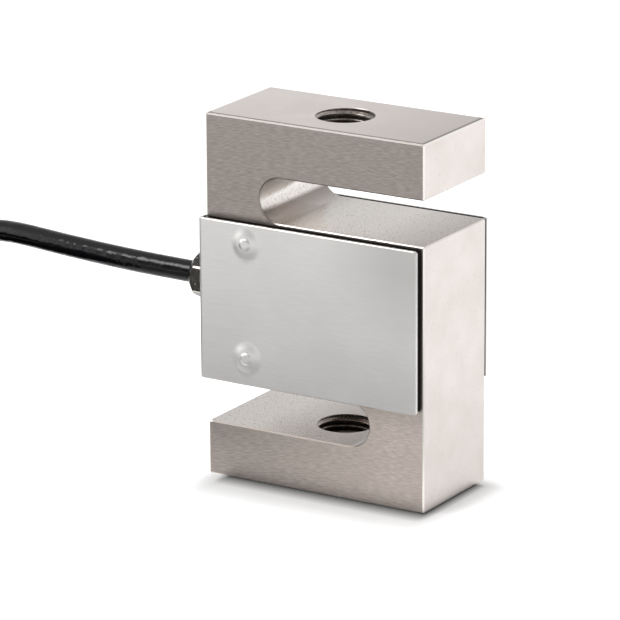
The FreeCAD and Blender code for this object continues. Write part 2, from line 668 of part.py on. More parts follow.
def tube(points, diameter, name=None):
    """A round wire or cable along straight runs joined by tangent arcs. Each arc's radius is 0.45
    of the shorter of its two runs, divided by the tangent of half the turn."""
    points = [Vector(*p) for p in points]
    edges, radii = [], []
    at = points[0]
    for before, corner, after in zip(points, points[1:], points[2:]):
        arriving, leaving = corner - before, after - corner
        half_turn = arriving.getAngle(leaving) / 2
        cut_back = 0.45 * min(arriving.Length, leaving.Length)
        radius = cut_back / math.tan(half_turn)
        radii.append(radius)
        start = corner - arriving.normalize() * cut_back
        end = corner + leaving.normalize() * cut_back
        inward = (leaving - arriving).normalize()
        middle = corner + inward * (radius / math.cos(half_turn) - radius)
        edges.append(Part.LineSegment(at, start).toShape())
        edges.append(Part.Arc(start, middle, end).toShape())
        at = end
    edges.append(Part.LineSegment(at, points[-1]).toShape())
    path = Part.Wire(edges)
    section = Part.Wire(Part.Circle(points[0], points[1] - points[0], diameter / 2).toShape())
    solid = path.makePipeShell([section], True, True)
    expected = path.Length * math.pi * diameter**2 / 4
    if abs(solid.Volume - expected) > 0.01 * expected:
        raise RuntimeError(f"{name}: volume {solid.Volume:.1f}, expected {expected:.1f}")
    if name:
        shown = ", ".join(f"{radius:.1f}" for radius in radii)
        print(f"{name}: {path.Length:.1f} mm along its path, arc radii {shown} mm")
    return solid


def shaped(label, shape):
    """A sub-part whose shape is worked out here."""
    part = doc.addObject("Part::Feature", label)
    part.Label = label
    part.Shape = shape
    part.Placement = FreeCAD.Placement()
    return part


def core_places():
    """Middles of the cable's four cores round its axis, and the rows they go to, as (y, z, row)."""
    spread = size("dims.core_spread")
    pitch = size("dims.terminal_pitch")
    return [
        (-spread, -spread, -1.5 * pitch),
        (-spread, spread, -0.5 * pitch),
        (spread, spread, 0.5 * pitch),
        (spread, -spread, 1.5 * pitch),
    ]


CORE_COLOURS = ("red", "black", "green", "white")
CORE_BENDS = (0.3, 0.65)  # shares of the way from the jacket's end to the terminals
CORE_SPREAD_OUT = 0.7  # share of the way over to its terminal, at the second bend


def cable_cores():
    """The cores from the jacket's inner end to their terminals, one sub-part for each colour."""
    diameter, axis = size("dims.core_diameter"), size(AXIS_Z)
    start = -size(SIDE) + size("dims.cable_tail")
    row, top = size("dims.core_row"), size(f"{BOARD_TOP} + dims.terminal_height")
    for colour, (y, z, target) in zip(CORE_COLOURS, core_places()):
        above = top + size("dims.core_rise")
        spread_y = y + CORE_SPREAD_OUT * (target - y)
        points = [
            (start, y, axis + z),
            (start + CORE_BENDS[0] * (row - start), y, axis + z),
            (start + CORE_BENDS[1] * (row - start), spread_y, above + diameter / 2),
            (row, target, above),
            (row, target, top),
        ]
        shaped(f"core_{colour}", tube(points, diameter))


def gauge_wires():
    """Two fine wires from each gauge to the board's terminals. Those of the upper gauges drop to
    the middle terminals, and those of the lower ones come up beside the board. Between a gauge's
    tab and its terminal a wire's points are chosen shares of the way, so that it hangs clear."""
    diameter, axis = size("dims.wire_diameter"), size(AXIS_Z)
    pitch, top = size("dims.terminal_pitch"), size(f"{BOARD_TOP} + dims.terminal_height")
    beside = size("dims.board_depth / 2 + dims.wire_clear")
    rise = size("dims.wire_rise")
    bore, offset = size("dims.gauge_bore / 2"), size("dims.gauge_bore_offset")
    angle = 0.8 * size("dims.gauge_length / dims.gauge_bore")
    surface = bore - size("dims.gauge_film")
    solids = []
    for side, row in ((-1, size("dims.inner_row")), (1, size("dims.outer_row"))):
        tab_x = side * (offset - surface * math.sin(angle))
        for hand in (-1, 1):
            tab_y = hand * size("dims.gauge_width / 4")
            tab_z = surface * math.cos(angle)
            middle, outermost = hand * 0.5 * pitch, hand * 1.5 * pitch
            solids.append(tube([
                (tab_x, tab_y, axis + tab_z),
                (tab_x + 0.2 * (row - tab_x), tab_y, axis + 0.75 * tab_z),
                (tab_x + 0.75 * (row - tab_x), 0.9 * middle, axis + 0.3 * tab_z),
                (row, middle, top + rise),
                (row, middle, top),
            ], diameter))
            solids.append(tube([
                (tab_x, tab_y, axis - tab_z),
                (tab_x + side * 0.5, tab_y, axis - 0.8 * tab_z),
                (side * (offset - 1), hand * beside, axis - 0.5 * tab_z),
                (side * (offset - 2), hand * beside, axis),
                (0.5 * (row + side * offset), hand * (beside - 1), top + 1.2 * rise),
                (row, outermost, top + 0.8 * rise),
                (row, outermost, top),
            ], diameter))
    shaped("gauge_wires", Part.makeCompound(solids))


# The cable leaves the gland along its axis, bends to the rear and comes down on the coil. The
# first point is the jacket's inner end. The others are chosen to follow the cable's line.
CABLE_ROUTE = [
    (-44.0, 0.0, 38.1),
    (-69.5, 3.35, 38.0),
    (-93.8, 8.15, 38.0),
    (-117.5, 14.5, 29.4),
    (-133.2, 10.25, 26.9),
    (-143.6, -1.25, 26.5),
]
COIL_MIDDLE = Vector(-size("dims.coil_beside"), -size("dims.coil_before"), 0)
FIRST_TIE, SECOND_TIE = 74.0, 190.0  # degrees round the coil
SLEEVE_START, SLEEVE_END = 304.0, 344.0
TAIL_RADIUS = 20.5


def round_coil(angle, radius, z):
    """A point at an angle in degrees, counter-clockwise from +X, round the coil's middle."""
    turn = math.radians(angle)
    return COIL_MIDDLE + Vector(radius * math.cos(turn), radius * math.sin(turn), z)


def coil_top():
    return size("dims.tie_sheet + dims.tie_play + dims.coil_layers * dims.cable_diameter")


def cable():
    """The cable outside the coil, from inside the block to the coil's top."""
    start = (-size(SIDE) + size("dims.cable_tail"), 0, size(AXIS_Z))
    shape = tube([start, *CABLE_ROUTE], size("dims.cable_diameter"), "cable")
    return shaped("cable", shape)


def cable_coil(incoming):
    """The outer shape of the wound turns: a ring with rounded edges, a groove where the cable
    comes down on it, and the last stretch of cable that climbs to the sleeve."""
    diameter = size("dims.cable_diameter")
    ring = size("dims.coil_mean / 2")
    half = size("dims.coil_columns * dims.cable_diameter / 2")
    low, high = size("dims.tie_sheet + dims.tie_play"), coil_top()
    right, up = Vector(diameter / 2, 0, 0), Vector(0, 0, diameter / 2)
    corners = [
        (Vector(ring + half, 0, low), -right, up),
        (Vector(ring + half, 0, high), -up, -right),
        (Vector(ring - half, 0, high), right, -up),
        (Vector(ring - half, 0, low), up, right),
    ]
    edges = []
    for (corner, arriving, leaving), (following, ahead, _) in zip(corners, corners[1:] + corners[:1]):
        start, end = corner + arriving, corner + leaving
        middle = corner + (arriving + leaving) * (1 - math.sqrt(0.5))
        edges.append(Part.Arc(start, middle, end).toShape())
        edges.append(Part.LineSegment(end, following + ahead).toShape())
    profile = Part.Face(Part.Wire(edges))
    profile.translate(COIL_MIDDLE)
    turns = profile.revolve(COIL_MIDDLE, Vector(0, 0, 1), 360)
    step = 20.0  # degrees between the tail's points
    corner = TAIL_RADIUS / math.cos(math.radians(step / 2))
    above = high + size("dims.sleeve_diameter / 2")
    tail = tube([
        round_coil(SLEEVE_START - 2.5 * step, corner, high - 0.3 * diameter),
        round_coil(SLEEVE_START - 1.5 * step, corner, above - 0.2 * diameter),
        round_coil(SLEEVE_START - 0.5 * step, corner, above),
        round_coil(SLEEVE_START, TAIL_RADIUS, above),
    ], diameter)
    wound = turns.fuse(tail)
    grooved = wound.cut(incoming.Shape)
    if not grooved.Volume < wound.Volume - diameter**3:
        raise RuntimeError("the cable leaves no groove in the coil")
    return shaped("cable_coil", grooved)


def coil_tie(label, angle):
    """A nylon strap round the coil's section with its square head on top."""
    body = new_body(label)
    ring = "dims.coil_mean / 2"
    loop = new_sketch(body, "XZ_Plane", f"{label}_loop")
    half = "(dims.coil_columns * dims.cable_diameter / 2 + dims.tie_play)"
    low = "dims.tie_sheet"
    high = "(dims.tie_sheet + 2 * dims.tie_play + dims.coil_layers * dims.cable_diameter)"
    bend = "(dims.cable_diameter / 2)"
    for grow in ("0", "dims.tie_sheet"):
        left, right = f"({ring} - {half} - {grow})", f"({ring} + {half} + {grow})"
        down, up, radius = f"({low} - {grow})", f"({high} + {grow})", f"({bend} + {grow})"
        outline(loop, [
            (f"{right} - {radius}", down),
            (right, f"{down} + {radius}", radius),
            (right, f"{up} - {radius}"),
            (f"{right} - {radius}", up, radius),
            (f"{left} + {radius}", up),
            (left, f"{up} - {radius}", radius),
            (left, f"{down} + {radius}"),
            (f"{left} + {radius}", down, radius),
        ])
    feature(body, "Pad", f"{label}_strap", loop, Length="dims.tie_width", SideType="Symmetric")
    head = new_sketch(body, "XZ_Plane", f"{label}_head_outline")
    head_half, strap_top = "dims.tie_head_length / 2", f"({high} + dims.tie_sheet)"
    outline(head, [
        (f"{ring} - {head_half}", f"{high} + dims.tie_sheet / 2"),
        (f"{ring} + {head_half}", f"{high} + dims.tie_sheet / 2"),
        (f"{ring} + {head_half}", f"{strap_top} + dims.tie_head_height"),
        (f"{ring} - {head_half}", f"{strap_top} + dims.tie_head_height"),
    ])
    feature(body, "Pad", f"{label}_head", head, Length="dims.tie_head_width",
            SideType="Symmetric")
    body.Placement = FreeCAD.Placement(COIL_MIDDLE, Rotation(Vector(0, 0, 1), angle))
    return body


def end_sleeve():
    """The shrunk sleeve over the jacket's far end, lying along the coil's turns."""
    body = new_body("end_sleeve")
    section = new_sketch(body, "XZ_Plane", "sleeve_section")
    index = section.addGeometry(
        Part.Circle(Vector(TAIL_RADIUS, 0, 0), Vector(0, 0, 1), size("dims.sleeve_diameter / 2")), False)
    bind(section, "Diameter", index, expression="dims.sleeve_diameter")
    section.addConstraint(Sketcher.Constraint("DistanceX", -1, 1, index, 3, TAIL_RADIUS))
    section.addConstraint(Sketcher.Constraint("PointOnObject", index, 3, -1))
    feature(body, "Revolution", "sleeve", section, ReferenceAxis=(section, ["V_Axis"]),
            Angle=SLEEVE_END - SLEEVE_START)
    top = coil_top() + size("dims.sleeve_diameter / 2")
    body.Placement = FreeCAD.Placement(COIL_MIDDLE + Vector(0, 0, top),
                                       Rotation(Vector(0, 0, 1), SLEEVE_START))
    return body


LEAD_LANES = {"red": 17.0, "black": 19.2, "green": 21.9, "white": 24.2}  # radii on the coil
LEAD_ENDS = {"red": 398.0, "black": 403.0, "green": 401.0, "white": 399.0}  # degrees
DRAIN_END = 410.0
LEAD_STRAIGHT = 3.5  # straight out of the sleeve
LEAD_BENDS = (20, 30, 41)  # degrees past the sleeve's end where a lead drops, lands and lies
LEAD_EASE = 0.2  # height at which a lead lands


def lead_route(shift, lift, lane, end, diameter):
    """From the sleeve's face, down onto the coil's top and along its own lane there."""
    above, top = coil_top() + size("dims.sleeve_diameter / 2"), coil_top() + diameter / 2
    start = round_coil(SLEEVE_END, TAIL_RADIUS + shift, above + lift)
    turn = math.radians(SLEEVE_END)
    ahead = start + Vector(-math.sin(turn), math.cos(turn), 0) * LEAD_STRAIGHT
    drop, land, lie = (SLEEVE_END + angle for angle in LEAD_BENDS)
    middle = (TAIL_RADIUS + shift + lane) / 2
    return [
        start,
        ahead,
        round_coil(drop, middle, (above + lift + top) / 2),
        round_coil(land, lane, top + LEAD_EASE),
        round_coil(lie, lane + LEAD_EASE / 2, top),
        round_coil(end, lane, top),
    ]


def far_end_leads():
    """The four insulated leads with their tinned strands, and the bare drain wire between."""
    diameter, spread = size("dims.core_diameter"), size("dims.core_spread")
    strand, bare = size("dims.strand_diameter"), size("dims.strand_length")
    strands = []
    shifts = {"red": (-1, -1), "black": (-1, 1), "green": (1, -1), "white": (1, 1)}
    for colour in CORE_COLOURS:
        shift, lift = (spread * way for way in shifts[colour])
        route = lead_route(shift, lift, LEAD_LANES[colour], LEAD_ENDS[colour], diameter)
        shaped(f"lead_{colour}", tube(route, diameter))
        end, along = route[-1], (route[-1] - route[-2]).normalize()
        strands.append(Part.makeCylinder(strand / 2, bare, end, along))
    shaped("lead_strands", Part.makeCompound(strands))
    drain = size("dims.drain_diameter")
    shaped("drain_wire", tube(lead_route(0, 0, TAIL_RADIUS, DRAIN_END, drain), drain))


# Building, checking and writing the files

spring_element()
for end_name, face in (("front", -1), ("rear", 1)):
    cover(f"{end_name}_cover", face)
    gasket(f"{end_name}_gasket", face)
    cover_studs(f"{end_name}_cover_studs", face)
for side_name, side_way in (("left", -1), ("right", 1)):
    for level, level_way in (("upper", 1), ("lower", -1)):
        strain_gauge(f"strain_gauge_{level}_{side_name}", side_way, level_way)
terminal_board()
solder_terminals()
trim_resistors()
cable_cores()
gauge_wires()
gland_body()
gland_o_ring()
turned_ring("gland_seal", "dims.cable_diameter / 2", "dims.seal_outer / 2", SEAL_BOTTOM, SEAL_TOP)
turned_ring("gland_washer", CABLE_BORE, "dims.washer_outer / 2", SEAL_TOP, WASHER_TOP)
gland_nut()
turned_ring("cable_retainer", "dims.cable_diameter / 2", "dims.retainer_outer / 2",
            "-dims.cable_tail", "-dims.gland_reach")
cable_coil(cable())
coil_tie("coil_tie_near", FIRST_TIE)
coil_tie("coil_tie_far", SECOND_TIE)
end_sleeve()
far_end_leads()
doc.recompute()

failed = [o.Name for o in doc.Objects if {"Invalid", "Error"} & set(o.State)]
if failed:
    raise RuntimeError(f"not computed: {', '.join(failed)}")
SUB_PARTS = [o for o in doc.Objects if o.TypeId in ("PartDesign::Body", "Part::Feature")
             and not o.getParentGeoFeatureGroup()]
for part in SUB_PARTS:
    if part.Shape.isNull() or not part.Shape.isValid():
        raise RuntimeError(f"{part.Label} has no valid shape")
os.makedirs("parts", exist_ok=True)
for part in SUB_PARTS:
    part.Shape.exportStep(f"parts/{part.Label}.step")
    print(f"{part.Label}: {len(part.Shape.Solids)} solid, {part.Shape.Volume:.1f} mm3")
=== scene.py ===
"""S-type load cell: the finish of its milled and plated spring element, the pressed covers, the
cable gland, and the screened cable with its unseen length wound into a tied coil.

Metres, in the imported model's own frame: +Z up along the load axis, -Y towards the front cover, and
the cable leaves towards -X. Sizes are written in millimetres and multiplied by MM.
"""

import json
import math

import bmesh
import bpy
import numpy as np
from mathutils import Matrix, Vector


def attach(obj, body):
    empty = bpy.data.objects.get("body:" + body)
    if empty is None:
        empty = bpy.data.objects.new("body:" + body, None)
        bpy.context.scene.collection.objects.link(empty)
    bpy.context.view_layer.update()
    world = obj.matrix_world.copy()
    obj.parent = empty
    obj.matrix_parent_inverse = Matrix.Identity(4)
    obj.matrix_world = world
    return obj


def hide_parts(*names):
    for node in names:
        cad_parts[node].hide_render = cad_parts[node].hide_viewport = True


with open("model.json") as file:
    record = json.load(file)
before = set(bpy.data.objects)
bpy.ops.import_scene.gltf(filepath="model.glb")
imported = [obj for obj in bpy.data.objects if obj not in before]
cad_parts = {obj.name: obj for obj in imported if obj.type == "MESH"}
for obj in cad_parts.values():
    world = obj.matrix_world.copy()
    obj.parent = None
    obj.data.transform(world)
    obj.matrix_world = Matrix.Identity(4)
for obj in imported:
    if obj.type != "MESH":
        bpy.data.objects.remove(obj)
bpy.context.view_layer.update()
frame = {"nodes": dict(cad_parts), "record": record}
MM = 0.001


# Driving sizes

BODY_WIDTH, BODY_DEPTH, BODY_HEIGHT = 50.8 * MM, 24.6 * MM, 76.2 * MM
BLOCK_HEIGHT, SLOT_GAP = 34.6 * MM, 9.4 * MM
BLOCK_TOP = BLOCK_HEIGHT / 2  # up or down from the body's middle
SLOT_FAR = BLOCK_TOP + SLOT_GAP  # the arms' inner faces, likewise
ARM = (BODY_HEIGHT - BLOCK_HEIGHT) / 2 - SLOT_GAP
AXIS_Z = BODY_HEIGHT / 2
SIDE, FRONT = BODY_WIDTH / 2, BODY_DEPTH / 2
EDGE_BREAK = 0.25 * MM
SWEEP_MIDDLE, SWEEP_RADIUS = 16.0 * MM, 240.0 * MM  # the milling cutter's path over the faces
THREAD_RADIUS, THREAD_PITCH, THREAD_LEAD = 6.0 * MM, 1.25 * MM, 0.15 * MM
COVER_LEFT, COVER_RIGHT = -SIDE - 0.5 * MM, SIDE - 0.4 * MM
REAR_RIGHT = SIDE - 0.9 * MM  # the rear cover sits flush with its gasket there
COVER_HALF = BLOCK_TOP - 0.4 * MM
COVER_SHEET, COVER_STANDOFF, COVER_BEND, COVER_CORNER = 0.7 * MM, 1.85 * MM, 0.3 * MM, 0.4 * MM
COVER_EDGE = 0.15 * MM  # chamfer round the sheet's outer face
STUD_X = COVER_LEFT + 11.5 * MM
STUD_LEVELS = (12.8 * MM, -11.2 * MM)  # above the front cover's middle
# Radius, width of the slope, and height of the pressed domes and of the bosses on them.
DOME_RADIUS, DOME_SLOPE, DOME_RISE = 3.7 * MM, 2.4 * MM, 0.45 * MM
BOSS_RADIUS, BOSS_SLOPE, BOSS_RISE = 1.5 * MM, 0.75 * MM, 0.26 * MM
NUT_START, NUT_OUT = 2.8 * MM, 10.7 * MM  # out from the body's side
NUT_FLATS, NUT_CONE = 9.2 * MM, 2.2 * MM  # across the flats, and the taper's length
NUT_TIP, NUT_BULGE = 2.9 * MM, 0.15 * MM  # the taper's radius at the tip, and how far it bulges
CABLE_DIAMETER = 4.6 * MM


# Materials

COORDS, SPLIT = "ShaderNodeTexCoord", "ShaderNodeSeparateXYZ"
MATH, RANGE, MIX = "ShaderNodeMath", "ShaderNodeMapRange", "ShaderNodeMix"
VECTOR, JOIN, TURN = "ShaderNodeVectorMath", "ShaderNodeCombineXYZ", "ShaderNodeMapping"
NOISE, WAVE, BUMP = "ShaderNodeTexNoise", "ShaderNodeTexWave", "ShaderNodeBump"


def linear(code, shade=1.0):
    """An sRGB hex colour as the linear red, green, blue and alpha that shaders take. shade dims or
    lifts it."""
    parts = [int(code[k:k + 2], 16) / 255 for k in (1, 3, 5)]
    parts = [part / 12.92 if part <= 0.04045 else ((part + 0.055) / 1.055) ** 2.4 for part in parts]
    return [shade * part for part in parts] + [1.0]


def add(tree, kind, links=None, out=None, **settings):
    """One node of a tree, with its settings, its socket values and its links. A key of links is an
    input's name or number, and its value an output socket to join or the input's own value. What
    comes back is the node, or its output of the name or number given."""
    made = tree.nodes.new(kind)
    for name, value in settings.items():
        setattr(made, name, value)
    for name, value in (links or {}).items():
        if isinstance(value, bpy.types.NodeSocket):
            tree.links.new(value, made.inputs[name])
        else:
            made.inputs[name].default_value = value
    return made if out is None else made.outputs[out]


def empty_tree(owner):
    """The node tree of a material or a world, with nothing in it."""
    owner.use_nodes = True
    owner.node_tree.nodes.clear()
    return owner.node_tree


def blank(name):
    """A material with an output and a principled shader, its node tree, and the object's place."""
    material = bpy.data.materials.new(name)
    tree = empty_tree(material)
    shader = add(tree, "ShaderNodeBsdfPrincipled")
    add(tree, "ShaderNodeOutputMaterial", {"Surface": shader.outputs[0]})
    return material, tree, shader, add(tree, COORDS, out="Object")


def steel_places(tree, place):
    """Masks over the spring element by name, each 1 where its name holds and 0 elsewhere, with a
    soft step between. They come from the place on the body and the way that its surface faces."""
    at = add(tree, SPLIT, {0: place})
    facing = add(tree, SPLIT, {0: add(tree, "ShaderNodeNewGeometry", out="Normal")})
    along_y = add(tree, MATH, {0: facing.outputs["Y"]}, 0, operation="ABSOLUTE")
    milled = add(tree, RANGE, {0: along_y, 1: 0.8, 2: 0.95}, 0)
    level = add(tree, RANGE, {0: facing.outputs["Z"], 1: 0.7, 2: 0.95}, 0)

    # Distances out from the middle and in from the outer faces. The two smaller ones of the latter
    # add up to the distance along a face to its nearest outer edge.
    x_size = add(tree, MATH, {0: at.outputs["X"]}, 0, operation="ABSOLUTE")
    y_size = add(tree, MATH, {0: at.outputs["Y"]}, 0, operation="ABSOLUTE")
    from_axis = add(tree, MATH, {0: at.outputs["Z"], 1: AXIS_Z}, 0, operation="SUBTRACT")
    z_size = add(tree, MATH, {0: from_axis}, 0, operation="ABSOLUTE")
    x_in, y_in, z_in = [add(tree, MATH, {0: half, 1: size}, 0, operation="SUBTRACT")
                        for half, size in ((SIDE, x_size), (FRONT, y_size), (AXIS_Z, z_size))]
    sides_sum = add(tree, MATH, {0: x_in, 1: y_in}, 0, operation="ADD")
    whole_sum = add(tree, MATH, {0: sides_sum, 1: z_in}, 0, operation="ADD")
    larger = add(tree, MATH, {0: x_in, 1: y_in}, 0, operation="MAXIMUM")
    largest = add(tree, MATH, {0: larger, 1: z_in}, 0, operation="MAXIMUM")
    to_edge = add(tree, MATH, {0: whole_sum, 1: largest}, 0, operation="SUBTRACT")
    broken = add(tree, RANGE, {0: to_edge, 1: EDGE_BREAK + 0.03 * MM, 2: EDGE_BREAK + 0.07 * MM,
                               3: 1.0, 4: 0.0}, 0)

    # The strip along the level faces' front and right edges, which takes a painted dark reflection
    # line.
    near_edge = add(tree, RANGE, {0: to_edge, 1: EDGE_BREAK + 0.5 * MM, 2: EDGE_BREAK + 1.0 * MM,
                                  3: 1.0, 4: 0.0}, 0)
    in_front = add(tree, RANGE, {0: at.outputs["Y"], 1: 1.2 * MM - FRONT, 2: 1.6 * MM - FRONT,
                                 3: 1.0, 4: 0.0}, 0)
    on_right = add(tree, RANGE, {0: at.outputs["X"], 1: SIDE - 1.6 * MM, 2: SIDE - 1.2 * MM}, 0)
    front_or_right = add(tree, MATH, {0: in_front, 1: on_right}, 0, operation="MAXIMUM")

    # The slots: inside the sides, in the two bands above and below the block.
    off_block = add(tree, RANGE, {0: z_size, 1: BLOCK_TOP - 0.1 * MM, 2: BLOCK_TOP}, 0)
    off_arm = add(tree, RANGE, {0: z_size, 1: SLOT_FAR, 2: SLOT_FAR + 0.1 * MM, 3: 1.0, 4: 0.0}, 0)
    within = add(tree, RANGE, {0: x_size, 1: SIDE - 0.2 * MM, 2: SIDE - 0.1 * MM,
                               3: 1.0, 4: 0.0}, 0)
    turned_away = add(tree, RANGE, {0: along_y, 1: 0.5, 2: 0.6, 3: 1.0, 4: 0.0}, 0)

    # The broken edges where the slots meet the front and the rear, and what the covers hide.
    rim = SLOT_FAR + EDGE_BREAK
    off_rim = add(tree, RANGE, {0: z_size, 1: rim, 2: rim + 0.05 * MM, 3: 1.0, 4: 0.0}, 0)
    at_face = add(tree, RANGE, {0: y_in, 1: EDGE_BREAK + 0.02 * MM, 2: EDGE_BREAK + 0.06 * MM,
                                3: 1.0, 4: 0.0}, 0)
    tilted = add(tree, RANGE, {0: along_y, 1: 0.5, 2: 0.6}, 0)
    unmilled = add(tree, RANGE, {0: along_y, 1: 0.8, 2: 0.95, 3: 1.0, 4: 0.0}, 0)
    off_sides = add(tree, RANGE, {0: x_size, 1: SIDE - 0.9 * MM, 2: SIDE - 0.5 * MM,
                                  3: 1.0, 4: 0.0}, 0)
    block = add(tree, RANGE, {0: z_size, 1: COVER_HALF - 0.3 * MM, 2: COVER_HALF,
                              3: 1.0, 4: 0.0}, 0)

    # The bores' walls, round the load axis in the two arms, and the depth in from an arm's face.
    flat = add(tree, TURN, {0: place, "Scale": (1.0, 1.0, 0.0)}, 0)
    from_load_axis = add(tree, VECTOR, {0: flat}, "Value", operation="LENGTH")
    round_axis = add(tree, RANGE, {0: from_load_axis, 1: THREAD_RADIUS + 0.05 * MM,
                                   2: THREAD_RADIUS + 0.1 * MM, 3: 1.0, 4: 0.0}, 0)
    in_arm = add(tree, MATH, {0: 1.0, 1: off_arm}, 0, operation="SUBTRACT")
    from_slot = add(tree, MATH, {0: z_size, 1: SLOT_FAR}, 0, operation="SUBTRACT")
    depth = add(tree, MATH, {0: z_in, 1: from_slot}, 0, operation="MINIMUM")
    deep = add(tree, RANGE, {0: depth, 1: 0.6 * MM, 2: 3.0 * MM}, 0)

    # Painted light over the face below the lower slot's closed end: paler towards +X and downwards,
    # with painted shade near the floor.
    along = add(tree, RANGE, {0: at.outputs["X"], 1: -20 * MM, 2: 18 * MM}, 0)
    down = add(tree, RANGE, {0: at.outputs["Z"], 1: 50 * MM, 2: 16 * MM}, 0)
    foot = add(tree, RANGE, {0: at.outputs["Z"], 1: 2 * MM, 2: 14 * MM, 3: 0.42, 4: 1.0}, 0)

    # The upper slot is closed on the left and the lower one on the right, half a turn apart. A
    # closed end takes a painted highlight, and painted shade where its floor runs up into it. The
    # floors take painted shade towards +X: the lower one round its bore, the upper one at its open
    # end.
    up_or_down = add(tree, MATH, {0: from_axis}, 0, operation="SIGN")
    to_open = add(tree, MATH, {0: up_or_down, 1: at.outputs["X"]}, 0, operation="MULTIPLY")
    closed = add(tree, RANGE, {0: to_open, 1: -15 * MM, 2: 0.0, 3: 1.0, 4: 0.0}, 0,
                 interpolation_type="SMOOTHSTEP")
    end_highlight = add(tree, MATH, {0: closed, 1: 0.6}, 0, operation="MULTIPLY")
    rising = add(tree, RANGE, {0: facing.outputs["Z"], 1: 0.46, 2: 0.62}, 0)
    shifted = add(tree, MATH, {0: up_or_down, 1: -13 * MM, 2: at.outputs["X"]}, 0,
                  operation="MULTIPLY_ADD")
    painted_shade_ramp = add(tree, RANGE, {0: shifted, 1: -2 * MM, 2: 12 * MM, 3: 0.0, 4: 0.6}, 0)

    # The ends darken over their right half, and painted shade darkens a broken edge that faces the
    # light, forwards and up.
    on_right_half = add(tree, RANGE, {0: at.outputs["X"], 1: -2 * MM, 2: 24 * MM}, 0)
    skyward = add(tree, MATH, {0: facing.outputs["Z"], 1: facing.outputs["Y"]}, 0,
                  operation="SUBTRACT")
    skyward = add(tree, RANGE, {0: skyward, 1: 1.1, 2: 1.35}, 0)

    masks = {"milled": milled, "level": level, "broken": broken, "deep": deep, "end_highlight": end_highlight,
             "on_right_half": on_right_half, "skyward": skyward}
    for name, parts in (
            ("beside_edge", (near_edge, level, front_or_right)),
            ("in_slots", (off_block, off_arm, within, turned_away)),
            ("slot_rim", (at_face, tilted, off_rim, off_block, unmilled, off_sides)),
            ("behind_covers", (block, off_sides)),
            ("in_bores", (round_axis, in_arm)),
            ("painted_tone", (along, down, foot)),
            ("stained", (closed, rising)),
            ("painted_floor_shade", (painted_shade_ramp, level))):
        product = parts[0]
        for part in parts[1:]:
            product = add(tree, MATH, {0: product, 1: part}, 0, operation="MULTIPLY")
        masks[name] = product
    return masks


def cutter_marks(tree, place):
    """Marks 0.14 mm wide and about twelve times as long. They are shallow arcs of the cutter's
    sweep: the height falls as the square of the way along from the sweep's middle, over twice its
    radius."""
    at = add(tree, SPLIT, {0: place})
    drawn_out = add(tree, MATH, {0: at.outputs["X"], 1: 0.08}, 0, operation="MULTIPLY")
    sweep = add(tree, MATH, {0: at.outputs["X"], 1: SWEEP_MIDDLE}, 0, operation="SUBTRACT")
    sweep = add(tree, MATH, {0: sweep, 1: sweep}, 0, operation="MULTIPLY")
    arc = add(tree, MATH, {0: sweep, 1: 0.5 / SWEEP_RADIUS, 2: at.outputs["Z"]}, 0,
              operation="MULTIPLY_ADD")
    along_arc = add(tree, JOIN, {0: drawn_out, 1: at.outputs["Y"], 2: arc}, 0)
    marks = add(tree, NOISE, {"Vector": along_arc, "Scale": 1.0 / (0.14 * MM), "Detail": 2.0,
                              "Roughness": 0.5, "Distortion": 0.12}, 0)
    return add(tree, RANGE, {0: marks, 1: 0.36, 2: 0.64}, 0)


